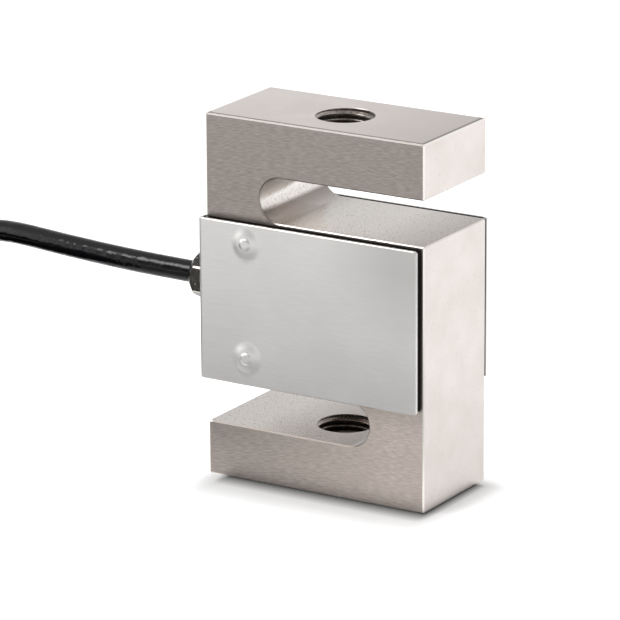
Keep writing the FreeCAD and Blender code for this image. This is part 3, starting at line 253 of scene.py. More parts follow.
def plated_steel():
    """Satin nickel over milled alloy steel. The front and rear keep the cutter's marks, short, fine
    and nearly level; their darker colour is partly those marks and partly painted shade. The sides
    and ends are ground, paler, with tiny pits. The slots are cut by a wire and stay grainy but
    shine.
    The bores are bare cuts, darker inside by painted shade. Painted shade darkens the faces behind
    the covers."""
    material, tree, shader, place = blank("nickel_plated_steel")
    on = steel_places(tree, place)
    marks = cutter_marks(tree, place)
    # Clouds of 9 mm, grit of 0.2 mm, coarser than the wire leaves, which wouldn't show, and specks
    # of 0.5 mm, whose peaks are the ground faces' pits and the slots' dark dots.
    cloud = add(tree, NOISE, {"Vector": place, "Scale": 1.0 / (9 * MM), "Detail": 3.0}, 0)
    cloud = add(tree, RANGE, {0: cloud, 1: 0.35, 2: 0.65}, 0)
    grit = add(tree, NOISE, {"Vector": place, "Scale": 1.0 / (0.2 * MM), "Detail": 3.0,
                             "Roughness": 0.7}, 0)
    grit = add(tree, RANGE, {0: grit, 1: 0.35, 2: 0.66}, 0)
    specks = add(tree, NOISE, {"Vector": place, "Scale": 1.0 / (0.5 * MM), "Detail": 2.0}, 0)
    pits = add(tree, RANGE, {0: specks, 1: 0.66, 2: 0.72, 3: 0.0, 4: 0.35}, 0)
    dots = add(tree, RANGE, {0: specks, 1: 0.62, 2: 0.7, 3: 0.0, 4: 0.75}, 0)

    # Each finish: what mixes its two colours, the colours, and what lies over them.
    finish = {}
    for name, mixed_by, first, second, over in (
            ("ground_side", cloud, "#e0d9d4", "#e8e1dd", [(pits, "#a39a93")]),
            ("ground_end", cloud, "#ded6d2", "#e6dfdb", [(on["on_right_half"], "#cbc3c0")]),
            # A closed end's brightening is a painted highlight; its darkening where the floor runs
            # up, and the floors' darkening towards +X, are painted shade.
            ("wire_cut", grit, "#a9a29c", "#f8f2ed", [
                (on["end_highlight"], "#fbf6f1"), (on["painted_floor_shade"], "#857b74"), (dots, "#6f645b"),
                (on["stained"], "#7c726c")]),
            # The milled faces grow paler where the painted light rises; their darker colours are
            # partly painted shade.
            ("mark_low", on["painted_tone"], "#98908b", "#cabfb7", []),
            ("mark_high", on["painted_tone"], "#afa6a0", "#e6dad2", []),
            # The bores darken with depth: painted shade.
            ("bare_bore", on["deep"], "#c2bab4", "#9a938d", [(marks, "#5d5752")]),
            # Broken edges and slot rims are darker where they face the light: painted shade.
            ("broken_edge", on["skyward"], "#f4efea", "#8f8a86", []),
            ("slot_rim", on["skyward"], "#a39a93", "#7d7671", [])):
        colour = linear(first)
        for mask, code in [(mixed_by, second)] + over:
            colour = add(tree, MIX, {0: mask, 6: colour, 7: linear(code)}, 2, data_type="RGBA")
        finish[name] = colour
    face = finish["mark_low"]
    # The faces behind the covers are darkened: painted shade.
    for mask, over in ((marks, finish["mark_high"]), (on["behind_covers"], linear("#332e2b"))):
        face = add(tree, MIX, {0: mask, 6: face, 7: over}, 2, data_type="RGBA")
    colour = finish["ground_side"]
    # beside_edge lays a painted dark reflection line beside the edges.
    for mask, over in (("level", finish["ground_end"]), ("beside_edge", linear("#8f8883")),
                       ("in_slots", finish["wire_cut"]), ("milled", face),
                       ("in_bores", finish["bare_bore"]), ("broken", finish["broken_edge"]),
                       ("slot_rim", finish["slot_rim"])):
        colour = add(tree, MIX, {0: on[mask], 6: colour, 7: over}, 2, data_type="RGBA")
    tree.links.new(colour, shader.inputs["Base Color"])
    shader.inputs["Metallic"].default_value = 1.0
    rough = 0.42
    for mask, value in (("in_slots", 0.18), ("milled", 0.45), ("in_bores", 0.28), ("broken", 0.3)):
        rough = add(tree, MIX, {0: on[mask], 2: rough, 3: value}, 0)
    tree.links.new(rough, shader.inputs["Roughness"])

    grain = add(tree, MATH, {0: grit, 1: on["in_slots"]}, 0, operation="MULTIPLY")
    relief = add(tree, MIX, {0: on["milled"], 2: grain, 3: marks}, 0)
    bump = add(tree, BUMP, {"Height": relief, "Strength": 0.4, "Distance": 0.015 * MM}, 0)
    tree.links.new(bump, shader.inputs["Normal"])
    return material


def turned_metal(name, code, roughness, turning=0.25, stained=0.62):
    """Bare or plated metal off the lathe: fine rings round its axis, which lies along X here, and a
    stain that takes its colour down to a share, stained, of itself. turning is the rings' spacing
    in millimetres, wider than a lathe's feed, so that they show."""
    material, tree, shader, place = blank(name)
    # Bands repeat every 0.314 over their scale.
    rings = add(tree, WAVE, {"Vector": place, "Scale": 0.314 / (turning * MM), "Distortion": 1.5,
                             "Detail": 2.0}, 1, wave_type="BANDS", bands_direction="X")
    stain = add(tree, NOISE, {"Vector": place, "Scale": 1.0 / (2 * MM), "Detail": 4.0}, 0)
    stain = add(tree, RANGE, {0: stain, 1: 0.3, 2: 0.7}, 0)
    colour = add(tree, MIX, {0: stain, 6: linear(code, stained), 7: linear(code)}, 2,
                 data_type="RGBA")
    tree.links.new(colour, shader.inputs["Base Color"])
    shader.inputs["Metallic"].default_value = 1.0
    shader.inputs["Roughness"].default_value = roughness
    bump = add(tree, BUMP, {"Height": rings, "Strength": 0.3, "Distance": 0.01 * MM}, 0)
    tree.links.new(bump, shader.inputs["Normal"])
    return material


def black_nickel_nut():
    """Black nickel over a milled hexagon: dark, glossy and dented, with painted glints of bright
    metal on the corners and in small flecks."""
    material, tree, shader, place = blank("black_nickel_painted_glints")
    at = add(tree, SPLIT, {0: place})
    dents = add(tree, NOISE, {"Vector": place, "Scale": 1.0 / (1.6 * MM), "Detail": 2.0}, 0)
    flecks = add(tree, NOISE, {"Vector": place, "Scale": 1.0 / (0.9 * MM), "Detail": 3.0,
                               "Distortion": 1.2}, 0)
    flecks = add(tree, RANGE, {0: flecks, 1: 0.66, 2: 0.71}, 0)
    up = add(tree, MATH, {0: at.outputs["Z"], 1: AXIS_Z}, 0, operation="SUBTRACT")
    outward = add(tree, JOIN, {0: at.outputs["Y"], 1: up}, 0)
    from_axis = add(tree, VECTOR, {0: outward}, "Value", operation="LENGTH")
    # The corners stand 5.18 mm from the axis.
    corner = add(tree, RANGE, {0: from_axis, 1: 5.165 * MM, 2: 5.18 * MM}, 0)
    # Painted glints: bright metal colour on the corners and in small flecks.
    painted_glints = add(tree, MATH, {0: flecks, 1: corner}, 0, operation="MAXIMUM")
    colour = linear("#32302e")
    for mask, code in ((dents, "#5a5754"), (painted_glints, "#d9d2cb")):
        colour = add(tree, MIX, {0: mask, 6: colour, 7: linear(code)}, 2, data_type="RGBA")
    tree.links.new(colour, shader.inputs["Base Color"])
    shader.inputs["Metallic"].default_value = 1.0
    shader.inputs["Roughness"].default_value = 0.22
    bump = add(tree, BUMP, {"Height": dents, "Strength": 0.8, "Distance": 0.12 * MM}, 0)
    tree.links.new(bump, shader.inputs["Normal"])
    return material


def rolled_sheet():
    """Cold-rolled stainless sheet, satin. The rolls leave an even, almost neutral grey with a very
    fine grain along X and faint broad smudges, and painted shade darkens the upper right corner."""
    material, tree, shader, place = blank("rolled_stainless_sheet")
    # The real grain is finer than a pixel, so it is drawn 0.25 mm wide, and the smudges 16 mm.
    drawn_out = add(tree, TURN, {0: place, "Scale": (0.08, 1.0, 1.0)}, 0)
    grain = add(tree, NOISE, {"Vector": drawn_out, "Scale": 1.0 / (0.25 * MM), "Detail": 2.0}, 0)
    smudge = add(tree, NOISE, {"Vector": place, "Scale": 1.0 / (16 * MM), "Detail": 3.0}, 0)
    smudge = add(tree, RANGE, {0: smudge, 1: 0.3, 2: 0.7}, 0)
    at = add(tree, SPLIT, {0: place})
    # Painted shade darkens the upper right corner.
    to_right = add(tree, RANGE, {0: at.outputs["X"], 1: 2 * MM, 2: 20 * MM}, 0)
    to_top = add(tree, RANGE, {0: at.outputs["Z"], 1: 36 * MM, 2: 50 * MM}, 0)
    painted_shade_ramp = add(tree, MATH, {0: to_right, 1: to_top}, 0, operation="MULTIPLY")
    streaks = add(tree, RANGE, {0: grain, 1: 0.3, 2: 0.8, 3: 0.0, 4: 0.25}, 0)
    colour = linear("#e0dedc")
    for mask, code in ((smudge, "#e8e6e4"), (painted_shade_ramp, "#cac8c6"), (streaks, "#cbc8c5")):
        colour = add(tree, MIX, {0: mask, 6: colour, 7: linear(code)}, 2, data_type="RGBA")
    tree.links.new(colour, shader.inputs["Base Color"])
    shader.inputs["Metallic"].default_value = 1.0
    tree.links.new(add(tree, RANGE, {0: smudge, 3: 0.34, 4: 0.38}, 0), shader.inputs["Roughness"])
    bump = add(tree, BUMP, {"Height": grain, "Strength": 0.12, "Distance": 0.005 * MM}, 0)
    tree.links.new(bump, shader.inputs["Normal"])
    return material


def plain_polymer(name, code, roughness, grain=0.4, depth=0.01, specular=0.5):
    """Moulded or extruded plastic or rubber: one colour with a slight mottle, and a skin whose
    ripple is grain millimetres across and depth millimetres deep."""
    material, tree, shader, place = blank(name)
    skin = add(tree, NOISE, {"Vector": place, "Scale": 1.0 / (grain * MM), "Detail": 2.0}, 0)
    mottle = add(tree, NOISE, {"Vector": place, "Scale": 1.0 / (3 * MM), "Detail": 2.0}, 0)
    mottle = add(tree, RANGE, {0: mottle, 1: 0.3, 2: 0.7}, 0)
    colour = add(tree, MIX, {0: mottle, 6: linear(code), 7: linear(code, 1.2)}, 2, data_type="RGBA")
    tree.links.new(colour, shader.inputs["Base Color"])
    shader.inputs["Roughness"].default_value = roughness
    shader.inputs["Specular IOR Level"].default_value = specular
    bump = add(tree, BUMP, {"Height": skin, "Strength": 0.5, "Distance": depth * MM}, 0)
    tree.links.new(bump, shader.inputs["Normal"])
    return material


FINISHES = {
    "plated_steel": plated_steel(),
    "cover_sheet": rolled_sheet(),
    # Matt black with a fine tooth, so the gaps round the covers read as dark lines.
    "gasket_rubber": plain_polymer("moulded_black_rubber", "#0e0d0c", 0.7, grain=0.6, depth=0.02,
                                   specular=0.25),
    # Bright, with rings that draw the highlights out.
    "stud_steel": turned_metal("turned_steel", "#b4b2ae", 0.3),
    # Amber and glossy, as a thin film is.
    "gauge_film": plain_polymer("polyimide_film", "#b0722a", 0.25, grain=0.3),
    # Green under a satin lacquer.
    "board_laminate": plain_polymer("glass_laminate", "#2c6b43", 0.35, grain=0.3),
    # Silvery and smooth from the melt.
    "tin_solder": turned_metal("tin_solder", "#c8c8ca", 0.18, turning=0.8),
    # Dark, with a fine sintered grain.
    "resistor_body": plain_polymer("ceramic_chip", "#26262a", 0.45, grain=0.2),
    # Copper brown under a glossy enamel.
    "enamelled_wire": plain_polymer("enamelled_copper", "#8a4a22", 0.2, grain=0.2),
    # Dark and glossy, with a stain over the turning marks.
    "gland_metal": turned_metal("black_nickel", "#6a6763", 0.15, turning=0.3, stained=0.4),
    # Dull black from the mould.
    "seal_rubber": plain_polymer("seal_rubber", "#121212", 0.5),
    # Warm yellow, with turning marks.
    "washer_metal": turned_metal("turned_brass", "#c0a15c", 0.28),
    # Near black and glossy, with a low ripple of the cores below that breaks the highlight.
    "cable_jacket": plain_polymer("extruded_pvc_jacket", "#060608", 0.12, grain=3.0, depth=0.45,
                                  specular=0.25),
    # Satin black from the mould.
    "tie_nylon": plain_polymer("moulded_nylon", "#1b1b1c", 0.4, grain=0.5),
    # Dull black, slightly wrinkled by the heat that shrank it.
    "shrink_sleeve": plain_polymer("shrunk_polyolefin", "#18181a", 0.45, grain=0.8, depth=0.03),
    # Extruded in plain colours, smooth and satin.
    "insulation_red": plain_polymer("extruded_red", "#a81f22", 0.3, grain=1.5),
    "insulation_black": plain_polymer("extruded_black", "#1a1a1c", 0.3, grain=1.5),
    "insulation_green": plain_polymer("extruded_green", "#1f7a43", 0.3, grain=1.5),
    "insulation_white": plain_polymer("extruded_white", "#dedcd6", 0.3, grain=1.5),
    # Silvery and a little dull.
    "tinned_copper": turned_metal("tinned_copper", "#c9c8c4", 0.25, turning=0.4),
}
SLOT_OF = {part["node"]: part["material_slot"] for part in frame["record"]["subparts"]}
for node_name, node_object in frame["nodes"].items():
    node_object.material_slots[0].material = FINISHES[SLOT_OF[node_name]]


# Surfaces


def put(name, data):
    """An object with the data given, in the scene."""
    made = bpy.data.objects.new(name, data)
    bpy.context.scene.collection.objects.link(made)
    return made


def quads(grid, rows_join=False, columns_join=False):
    """Corner numbers of the quads of a grid of points. A joined way closes on itself."""
    numbers = np.arange(grid.shape[0] * grid.shape[1]).reshape(grid.shape[:2])
    if rows_join:
        numbers = np.vstack([numbers, numbers[:1]])
    if columns_join:
        numbers = np.hstack([numbers, numbers[:, :1]])
    corners = [numbers[:-1, :-1], numbers[:-1, 1:], numbers[1:, 1:], numbers[1:, :-1]]
    return np.stack(corners, axis=-1).reshape(-1, 4)


def piece(name, patches, slot, stands_for=(), sharp=35.0):
    """An object from patches, each a grid of points and its quads. Points that meet are merged,
    faces turned outwards, and edges sharper than an angle in degrees stay crisp."""
    points = np.concatenate([grid.reshape(-1, 3) for grid, _ in patches])
    starts = np.cumsum([0] + [grid.shape[0] * grid.shape[1] for grid, _ in patches[:-1]])
    faces = np.concatenate([corners + start for (_, corners), start in zip(patches, starts)])
    mesh = bpy.data.meshes.new(name)
    mesh.from_pydata(points, [], faces.tolist())
    work = bmesh.new()
    work.from_mesh(mesh)
    bmesh.ops.remove_doubles(work, verts=work.verts, dist=1e-6)
    bmesh.ops.dissolve_degenerate(work, edges=work.edges, dist=1e-7)
    bmesh.ops.recalc_face_normals(work, faces=work.faces)
    work.to_mesh(mesh)
    work.free()
    mesh.polygons.foreach_set("use_smooth", [True] * len(mesh.polygons))
    mesh.set_sharp_from_angle(angle=math.radians(sharp))
    mesh.materials.append(FINISHES[slot])
    made = put(name, mesh)
    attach(made, "root")
    if stands_for:
        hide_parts(*stands_for)
    return made


def gland_nut(name, steps=240):
    """The nut: its closed profile, bore, face, side, bulging taper and tip, is carried round the
    gland's axis. Each radius is held within the hexagon, whose side is half the flats over the
    cosine of the angle from its middle, and whose corners are cut back a little to round them."""
    corner = NUT_FLATS / math.sqrt(3)
    share = np.linspace(0, 1, 13)
    swell = 4 * NUT_BULGE * share * (1 - share)
    normal_out, normal_up = 0.74, 0.67  # the taper's normal, along which it bulges
    taper = np.c_[NUT_OUT - NUT_CONE * (1 - share) + swell * normal_out,
                  corner + (NUT_TIP - corner) * share + swell * normal_up]
    bore, clear = 3.9 * MM, 2.4 * MM  # round the gland and round the cable
    shoulder = 9.0 * MM  # where the one meets the other
    profile = np.concatenate([
        [(NUT_START, bore), (NUT_START, corner - 0.8 * MM), (NUT_START + 0.35 * MM, corner)], taper,
        [(NUT_OUT + 0.08 * MM, NUT_TIP - 0.15 * MM), (NUT_OUT, clear + 0.1 * MM),
         (NUT_OUT - 0.2 * MM, clear), (shoulder, clear), (shoulder, bore)]])
    angle = np.linspace(0, 2 * math.pi, steps, endpoint=False)
    folded = np.mod(angle, math.pi / 3) - math.pi / 6
    limit = np.minimum(NUT_FLATS / 2 / np.cos(folded), corner - 0.13 * MM)
    out = np.broadcast_to(profile[:, :1], (len(profile), steps))
    radius = np.minimum(profile[:, 1:], limit[None, :])
    grid = np.stack([-SIDE - out, radius * np.sin(angle), AXIS_Z + radius * np.cos(angle)], axis=-1)
    nut = piece(name, [(grid, quads(grid, rows_join=True, columns_join=True))], "gland_metal",
                ["gland_nut"], sharp=22.0)
    nut.material_slots[0].material = black_nickel_nut()
    return nut


def thread_ridge(name, low, high):
    """The ridge of a load thread. Its section, a tooth about 60 degrees wide with a worn round tip,
    standing on the bore's wall, is carried along a right-handed helix that climbs one pitch a turn,
    and sinks into the wall at both ends."""
    deep = 0.54 * THREAD_PITCH
    inset = 0.3  # of a pitch, at either end
    turns = (high - low) / THREAD_PITCH - 2 * inset
    along = np.linspace(0, 1, int(72 * turns))[:, None]
    angle = 2 * math.pi * turns * (along - 1) - math.pi / 3
    fade = np.clip(np.minimum(along, 1 - along) * turns / 0.4, 0, 1)
    fade = fade * fade * (3 - 2 * fade)
    inward = np.array([-0.03, 0.78, 0.93, 1.0, 0.93, 0.78, -0.03])[None, :]
    aside = np.array([-0.44, -0.16, -0.09, 0.0, 0.09, 0.16, 0.44])[None, :] * THREAD_PITCH
    radius = THREAD_RADIUS - inward * deep * (0.06 + 0.94 * fade)
    height = low + THREAD_PITCH * (inset + turns * along) + aside * (0.5 + 0.5 * fade)
    grid = np.stack([radius * np.cos(angle), radius * np.sin(angle), height], axis=-1)
    caps = [grid[row][np.array([[0, 1, 2, 3], [6, 5, 4, 3]])] for row in (0, -1)]
    patches = [(grid, quads(grid, columns_join=True))] + [(cap, quads(cap)) for cap in caps]
    return piece(name, patches, "plated_steel", sharp=60.0)


def pressed_height(x, z):
    """How far the cover's sheet is pressed out at a place: over each stud a dome, a raised cosine
    of its distance, with a small flat-topped boss on it."""
    height = np.zeros(np.broadcast(x, z).shape)
    for level in STUD_LEVELS:
        distance = np.hypot(x - STUD_X, z - level)
        dome = np.clip((DOME_RADIUS - distance) / DOME_SLOPE, 0, 1)
        boss = np.clip((BOSS_RADIUS - distance) / BOSS_SLOPE, 0, 1)
        height += DOME_RISE * (0.5 - 0.5 * np.cos(math.pi * dome))
        height += BOSS_RISE * boss * boss * (3 - 2 * boss)
    return height


def spread_lines(low, high, centres):
    """Grid lines from low to high, fine ones near both ends and near each centre."""
    coarse, fine = 0.9 * MM, 0.13 * MM
    lines = [low]
    while lines[-1] < high - 1e-9:
        near = min(abs(lines[-1] - centre) for centre in centres) < DOME_RADIUS + 0.1 * MM
        ends = min(lines[-1] - low, high - lines[-1]) < COVER_CORNER
        lines.append(min(lines[-1] + (fine if near or ends else coarse), high))
    return np.array(lines)


def cover_sheet(name, hand, free_end, stands_for):
    """A cover: its section, flat, round the bend and back to the block, is carried along Z. The
    sheet's half height falls at both ends as a quarter circle's sagitta, which rounds its corners,
    and the domes lift it along its own normal. The outer face, the foot of its chamfer and the
    inner face are a shell each, joined by rims. The rear cover is the front one turned half round
    about X. free_end is where the flat sheet stops."""
    bend = COVER_BEND + COVER_SHEET / 2
    fold = np.linspace(0, math.pi / 2, 9)[1:]
    flat_y = -(COVER_STANDOFF + COVER_SHEET / 2)
    middle = COVER_LEFT + COVER_SHEET / 2
    flat_x = spread_lines(middle + bend, free_end, [STUD_X])[::-1]
    x = np.concatenate([flat_x, middle + bend - bend * np.sin(fold), np.full(4, middle)])
    y = np.concatenate([np.full(len(flat_x), flat_y), flat_y + bend - bend * np.cos(fold),
                        np.linspace(flat_y + bend, 0, 5)[1:]])
    normal_x = np.concatenate([np.zeros(len(flat_x)), -np.sin(fold), -np.ones(4)])
    normal_y = np.concatenate([-np.ones(len(flat_x)), -np.cos(fold), np.zeros(4)])
    lines = spread_lines(-COVER_HALF, COVER_HALF, STUD_LEVELS) / COVER_HALF
    shells = []
    half = COVER_SHEET / 2
    for out, inset in ((half, COVER_EDGE), (half - COVER_EDGE, 0.0), (-half, 0.0)):
        shell_x, shell_y = np.minimum(x, free_end - inset) + normal_x * out, y + normal_y * out
        left = np.clip(COVER_CORNER - (shell_x - COVER_LEFT), 0, COVER_CORNER)
        right = np.clip(COVER_CORNER - (free_end - shell_x), 0, COVER_CORNER)
        short = sum(COVER_CORNER - np.sqrt(COVER_CORNER**2 - end**2) for end in (left, right))
        z = lines[None, :] * (COVER_HALF - inset - short)[:, None]
        lift = pressed_height(shell_x[:, None], z)
        shells.append(np.stack([shell_x[:, None] + normal_x[:, None] * lift,
                                shell_y[:, None] + normal_y[:, None] * lift, z], axis=-1))
    rims = [np.stack([shell[row] for shell in shells]) for row in (0, -1)]
    rims += [np.stack([shell[:, column] for shell in shells]) for column in (0, -1)]
    patches = []
    for grid in [shells[0], shells[-1]] + rims:
        grid = grid * np.array([1, -hand, -hand]) + np.array([0, hand * FRONT, AXIS_Z])
        patches.append((grid, quads(grid)))
    return piece(name, patches, "cover_sheet", [stands_for], sharp=40.0)


# The cable. The route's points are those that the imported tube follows, in millimetres.

CABLE_START = (-18.5, 0.0, 38.1)
CABLE_ROUTE = [
    (-44.0, 0.0, 38.1),
    (-69.5, 3.35, 38.0),
    (-93.8, 8.15, 38.0),
    (-117.5, 14.5, 29.4),
    (-133.2, 10.25, 26.9),
    (-143.6, -1.25, 26.5),
]
COIL_MIDDLE = np.array([-117.5, -17.0])
COIL_RADII = (30.4, 25.8, 21.2, 16.6)
COIL_BOTTOM, COIL_TOP = 3.3, 25.4375  # the cable's middle in the lowest and the highest turn
COIL_LAYERS = 4.8125  # turns in a column
COIL_STEP = 30.0  # degrees between control points
COLUMN_CHANGE = 0.2  # turns over which the cable passes from a column to the next
TAIL_TURN = 0.32  # of the last turn, left to the tail
TAIL_RADIUS, SLEEVE_RADIUS = 20.5, 2.75
COIL_FACE = COIL_TOP + 2.3  # height of the coil's flat top


def coil_turns():
    """The coil's control points, from the route's last point round and round. The first column of
    turns winds down at the largest radius, the next one up inside it, and so on, and the last one
    climbs out on top. A corner stands outside its circle by one over the cosine of half a step."""
    start = math.degrees(math.atan2(CABLE_ROUTE[-1][1] - COIL_MIDDLE[1],
                                    CABLE_ROUTE[-1][0] - COIL_MIDDLE[0]))
    first = (CABLE_ROUTE[-1][2] - COIL_BOTTOM) / CABLE_DIAMETER * MM
    edges = np.cumsum([0, first] + [COIL_LAYERS] * 3)
    heights = [CABLE_ROUTE[-1][2], COIL_BOTTOM, COIL_TOP, COIL_BOTTOM, COIL_TOP]
    angle = np.arange(start + COIL_STEP, start + 360 * (edges[-1] - TAIL_TURN), COIL_STEP)
    turn = (angle - start) / 360
    changes = (edges[1:4, None] + np.array([-COLUMN_CHANGE, COLUMN_CHANGE])).ravel()
    radius = np.interp(turn, changes, np.repeat(COIL_RADII, 2)[1:-1])
    radius = radius / math.cos(math.radians(COIL_STEP / 2))
    height = np.interp(turn, edges, heights)
    return np.stack([COIL_MIDDLE[0] + radius * np.cos(np.radians(angle)),
                     COIL_MIDDLE[1] + radius * np.sin(np.radians(angle)), height], axis=-1)


def on_coil(angle, radius, height):
    """A point on the coil by its angle in degrees round it, its radius and its height."""
    turn = math.radians(angle)
    x, y = COIL_MIDDLE + radius * np.array([math.cos(turn), math.sin(turn)])
    return x, y, height


def cord_curve(name, points, diameter, slot, rings=8, steps=6):
    """A round cord along a quadratic spline whose control points are given in millimetres."""
    curve = bpy.data.curves.new(name, "CURVE")
    curve.dimensions = "3D"
    spline = curve.splines.new("NURBS")
    spline.points.add(len(points) - 1)
    spline.points.foreach_set("co", np.c_[np.array(points) * MM, np.ones(len(points))].ravel())
    spline.order_u = 3
    spline.use_endpoint_u = True
    spline.resolution_u = steps
    curve.bevel_depth = diameter / 2
    curve.bevel_resolution = rings
    curve.use_fill_caps = True
    curve.materials.append(FINISHES[slot])
    made = put(name, curve)
    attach(made, "root")
    return made


# The tail leaves the innermost turn, climbs over the coil's top and lies flat on it.
tail = [
    on_coil(208.9, 17.2, 25.0),
    on_coil(238.9, 17.6, 26.8),
    on_coil(268.9, 19.4, 28.8),
    on_coil(298.9, 21.2, COIL_FACE + SLEEVE_RADIUS),
    on_coil(326.0, TAIL_RADIUS, COIL_FACE + SLEEVE_RADIUS),
]
cable = cord_curve("screened_cable", [CABLE_START, *CABLE_ROUTE, *coil_turns().tolist(), *tail],
                   CABLE_DIAMETER, "cable_jacket")
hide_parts("cable", "cable_coil")


# Floor, lights and camera

FLOOR_HALF = 6.0
CONTACT_GLOW, OPEN_GLOW = 0.0, 0.36  # at the object's foot, and where nothing shades the floor
CONTACT_REACH, PAINTED_SHADOW_REACH = 10.0 * MM, 2.6 * MM
# Where the foot's shade starts on either side of each axis, and how fast the way past it counts.
FOOT_SHADE = {"X": ((SIDE, 1.1), (5 * MM - SIDE, -1.2)),
              "Y": ((FRONT - 4 * MM, 1.5), (-FRONT, -0.5))}
DOME_LIGHT = 0.62  # the surroundings as a light
SURROUND = 0.97  # the surroundings in reflections
LIGHTS_AIM = (0.0, 0.0, 40.0 * MM)


def floor():
    """A white sweep that keeps the contact shadow, and whose paper is darker at the object's foot, a
    painted shadow. For the camera, reflections and glass it glows a little, so that it is white
    where nothing shades it, and less at the object's foot."""
    mesh = bpy.data.meshes.new("floor")
    corners = [(-1, -1, 0), (1, -1, 0), (1, 1, 0), (-1, 1, 0)]
    mesh.from_pydata([tuple(FLOOR_HALF * value for value in corner) for corner in corners], [],
                     [(0, 1, 2, 3)])
    made = put("floor", mesh)
    material = bpy.data.materials.new("white_sweep")
    tree = empty_tree(material)
    rays = add(tree, "ShaderNodeLightPath")
    seen = rays.outputs["Is Camera Ray"]
    for kind in ("Is Glossy Ray", "Is Transmission Ray"):
        seen = add(tree, MATH, {0: seen, 1: rays.outputs[kind]}, 0, operation="MAXIMUM")
    at = add(tree, SPLIT, {0: add(tree, COORDS, out="Object")})
    away = []
    for axis, sides in FOOT_SHADE.items():
        past = [add(tree, MATH, {0: at.outputs[axis], 1: pace, 2: -edge * pace}, 0,
                    operation="MULTIPLY_ADD") for edge, pace in sides]
        past = add(tree, MATH, {0: past[0], 1: past[1]}, 0, operation="MAXIMUM")
        away.append(add(tree, MATH, {0: past, 1: 0.0}, 0, operation="MAXIMUM"))
    both = add(tree, JOIN, {0: away[0], 1: away[1]}, 0)
    distance = add(tree, VECTOR, {0: both}, "Value", operation="LENGTH")
    # The way counts 1.2 times for the camera and 2.2 times in reflections, which see less shade.
    count = add(tree, MATH, {0: 2.2, 1: rays.outputs["Is Camera Ray"]}, 0, operation="SUBTRACT")
    counted = add(tree, MATH, {0: distance, 1: count}, 0, operation="MULTIPLY")
    glow = add(tree, RANGE, {0: counted, 1: 0.0, 2: CONTACT_REACH,
                             3: CONTACT_GLOW, 4: OPEN_GLOW}, 0, interpolation_type="SMOOTHSTEP")
    # Past the contact shadow the camera sees the floor pure white, but not beside the coil.
    clear = add(tree, RANGE, {0: distance, 1: 5 * MM, 2: 15 * MM}, 0)
    off_coil = add(tree, RANGE, {0: at.outputs["X"], 1: -118 * MM, 2: -110 * MM}, 0)
    for mask in (off_coil, rays.outputs["Is Camera Ray"]):
        clear = add(tree, MATH, {0: clear, 1: mask}, 0, operation="MULTIPLY")
    glow = add(tree, MATH, {0: clear, 1: OPEN_GLOW, 2: glow}, 0, operation="MULTIPLY_ADD")
    glow = add(tree, MATH, {0: glow, 1: seen}, 0, operation="MULTIPLY")
    # Painted shadow: the paper is darker near the object's foot.
    painted_shadow = add(tree, RANGE, {0: distance, 1: 0.0, 2: PAINTED_SHADOW_REACH}, 0)
    white = add(tree, MIX, {0: painted_shadow, 6: linear("#6a6a6a"), 7: linear("#e6e6e6")}, 2,
                data_type="RGBA")
    paper = add(tree, "ShaderNodeBsdfDiffuse", {"Color": white})
    light = add(tree, "ShaderNodeEmission", {"Color": (1, 1, 1, 1), "Strength": glow})
    sum_of = add(tree, "ShaderNodeAddShader", {0: paper.outputs[0], 1: light.outputs[0]})
    add(tree, "ShaderNodeOutputMaterial", {"Surface": sum_of.outputs[0]})
    mesh.materials.append(material)


def front_card():
    """A grey card on the floor in front, out of the picture. Only reflections see it. It grows
    paler away from the object, and gives the front faces their depth."""
    mesh = bpy.data.meshes.new("grey_card")
    left, right, far, near, rise = -0.5, 0.12, -0.6, -FRONT - 17 * MM, 0.5 * MM
    corners = [(left, far, rise), (right, far, rise), (right, near, rise), (left, near, rise)]
    mesh.from_pydata(corners, [], [(0, 1, 2, 3)])
    made = put("grey_card", mesh)
    material = bpy.data.materials.new("grey_card_board")
    tree = empty_tree(material)
    at = add(tree, SPLIT, {0: add(tree, COORDS, out="Object")})
    farther = add(tree, RANGE, {0: at.outputs["Y"], 1: -FRONT - 50 * MM, 2: -0.17}, 0)
    grey = add(tree, MIX, {0: farther, 6: linear("#b6b6b6"), 7: linear("#ffffff")}, 2,
               data_type="RGBA")
    light = add(tree, "ShaderNodeEmission", {"Color": grey, "Strength": 1.0})
    add(tree, "ShaderNodeOutputMaterial", {"Surface": light.outputs[0]})
    mesh.materials.append(material)
    made.visible_camera = made.visible_shadow = False
    made.visible_diffuse = made.visible_transmission = False


# What reflections meet in the white studio: the way to it, the degrees within which it is whole and
# beyond which it is gone, and what it adds to the level.
STUDIO_SPOTS = (
    ((-0.5, -0.82, 0.26), 8.0, 28.0, -0.62),  # the dark room behind the camera
    ((-0.8, 0.45, 0.42), 10.0, 36.0, -0.4),  # the far horizon
    ((-0.9, -0.39, 0.12), 8.0, 32.0, 0.9),  # a window on the left
    ((0.0, 0.05, 1.0), 8.0, 34.0, -0.5),  # the ceiling overhead
    ((0.3, -0.8, 0.5), 18.0, 42.0, -0.6),  # the ceiling in front
    ((-0.5, -0.5, 0.7), 8.0, 19.0, 6.0),  # a skylight
)


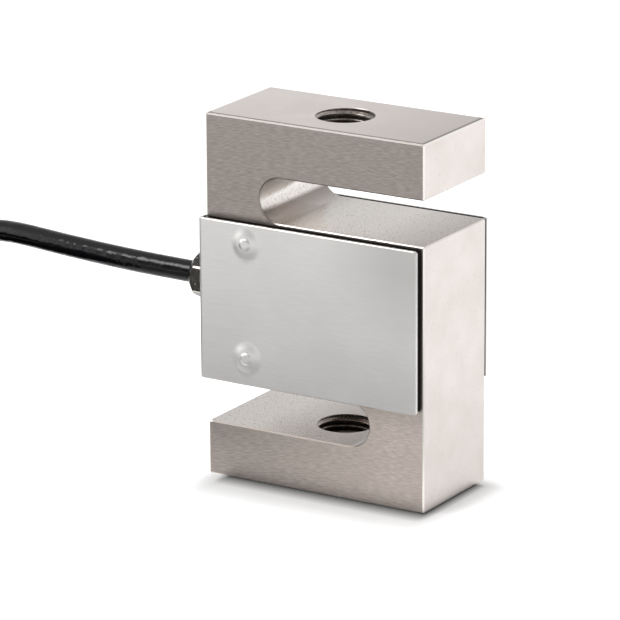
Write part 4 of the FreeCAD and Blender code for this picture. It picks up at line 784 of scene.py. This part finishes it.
def surroundings():
    """A white studio. The camera sees it white, and it gives a soft even light. Only reflections
    meet its darker and brighter spots."""
    world = bpy.data.worlds.new("studio")
    bpy.context.scene.world = world
    tree = empty_tree(world)
    rays = add(tree, "ShaderNodeLightPath")
    direction = add(tree, COORDS, out="Generated")
    level = SURROUND
    for way, inner, outer, added in STUDIO_SPOTS:
        facing = add(tree, VECTOR, {0: direction, 1: Vector(way).normalized()}, "Value",
                     operation="DOT_PRODUCT")
        edge, whole = math.cos(math.radians(outer)), math.cos(math.radians(inner))
        spot = add(tree, RANGE, {0: facing, 1: edge, 2: whole}, 0, interpolation_type="SMOOTHSTEP")
        level = add(tree, MATH, {0: spot, 1: added, 2: level}, 0, operation="MULTIPLY_ADD")
    strength = add(tree, MIX, {0: rays.outputs["Is Diffuse Ray"], 2: level, 3: DOME_LIGHT}, 0)
    strength = add(tree, MIX, {0: rays.outputs["Is Camera Ray"], 2: strength, 3: 1.0}, 0)
    light = add(tree, "ShaderNodeBackground", {"Color": (1, 1, 1, 1), "Strength": strength})
    add(tree, "ShaderNodeOutputWorld", {"Surface": light.outputs[0]})


def softbox(name, place, width, height, power):
    """A rectangular soft light at a place, turned to shine at the object's middle."""
    light = bpy.data.lights.new(name, "AREA")
    light.shape = "RECTANGLE"
    light.size, light.size_y = width, height
    light.energy = power
    made = put(name, light)
    made.location = place
    made.rotation_euler = (Vector(LIGHTS_AIM) - Vector(place)).to_track_quat("-Z", "Y").to_euler()
    return made


floor()
front_card()
surroundings()
overhead = softbox("overhead_softbox", (-0.1, 0.1, 1.3), 1.4, 1.2, 5.0)
overhead.visible_glossy = False
softbox("left_softbox", (-0.75, -0.83, 1.04), 0.8, 0.35, 3.2)

CAMERA_AIM = (0.0, 0.0, 38.0 * MM)
CAMERA_AZIMUTH, CAMERA_ELEVATION = math.radians(31.157), math.radians(16.687)
CAMERA_DISTANCE = 0.9486
CAMERA_ROLL = math.radians(-0.203)
PHOTO_SIZE = 620.0
FOCAL_PIXELS = 4691.8
AIM_SHIFT = (35.9, -11.7)  # pixels of the photograph, right and down from its middle
camera_data = bpy.data.cameras.new("photo_camera")
camera = put("photo_camera", camera_data)
camera_data.sensor_width = 36.0
camera_data.lens = FOCAL_PIXELS / PHOTO_SIZE * camera_data.sensor_width
camera_data.shift_x = -AIM_SHIFT[0] / PHOTO_SIZE
camera_data.shift_y = AIM_SHIFT[1] / PHOTO_SIZE
camera_data.clip_end = 50.0
back = Vector((math.sin(CAMERA_AZIMUTH) * math.cos(CAMERA_ELEVATION),
               -math.cos(CAMERA_AZIMUTH) * math.cos(CAMERA_ELEVATION), math.sin(CAMERA_ELEVATION)))
camera.location = Vector(CAMERA_AIM) + back * CAMERA_DISTANCE
camera.rotation_euler = (-back).to_track_quat("-Z", "Y").to_euler()
camera.rotation_euler.rotate_axis("Z", CAMERA_ROLL)
bpy.context.scene.camera = camera
bpy.context.scene.view_settings.view_transform = "Standard"


# Pieces

cover_sheet("front_cover_pressed", -1, COVER_RIGHT, "front_cover")
cover_sheet("rear_cover_pressed", 1, REAR_RIGHT, "rear_cover")
gland_nut("tapered_gland_nut")
for level, low in (("upper", BODY_HEIGHT - ARM), ("lower", 0.0)):
    thread_ridge(f"{level}_load_thread", low + THREAD_LEAD / 2, low + ARM - THREAD_LEAD / 2)
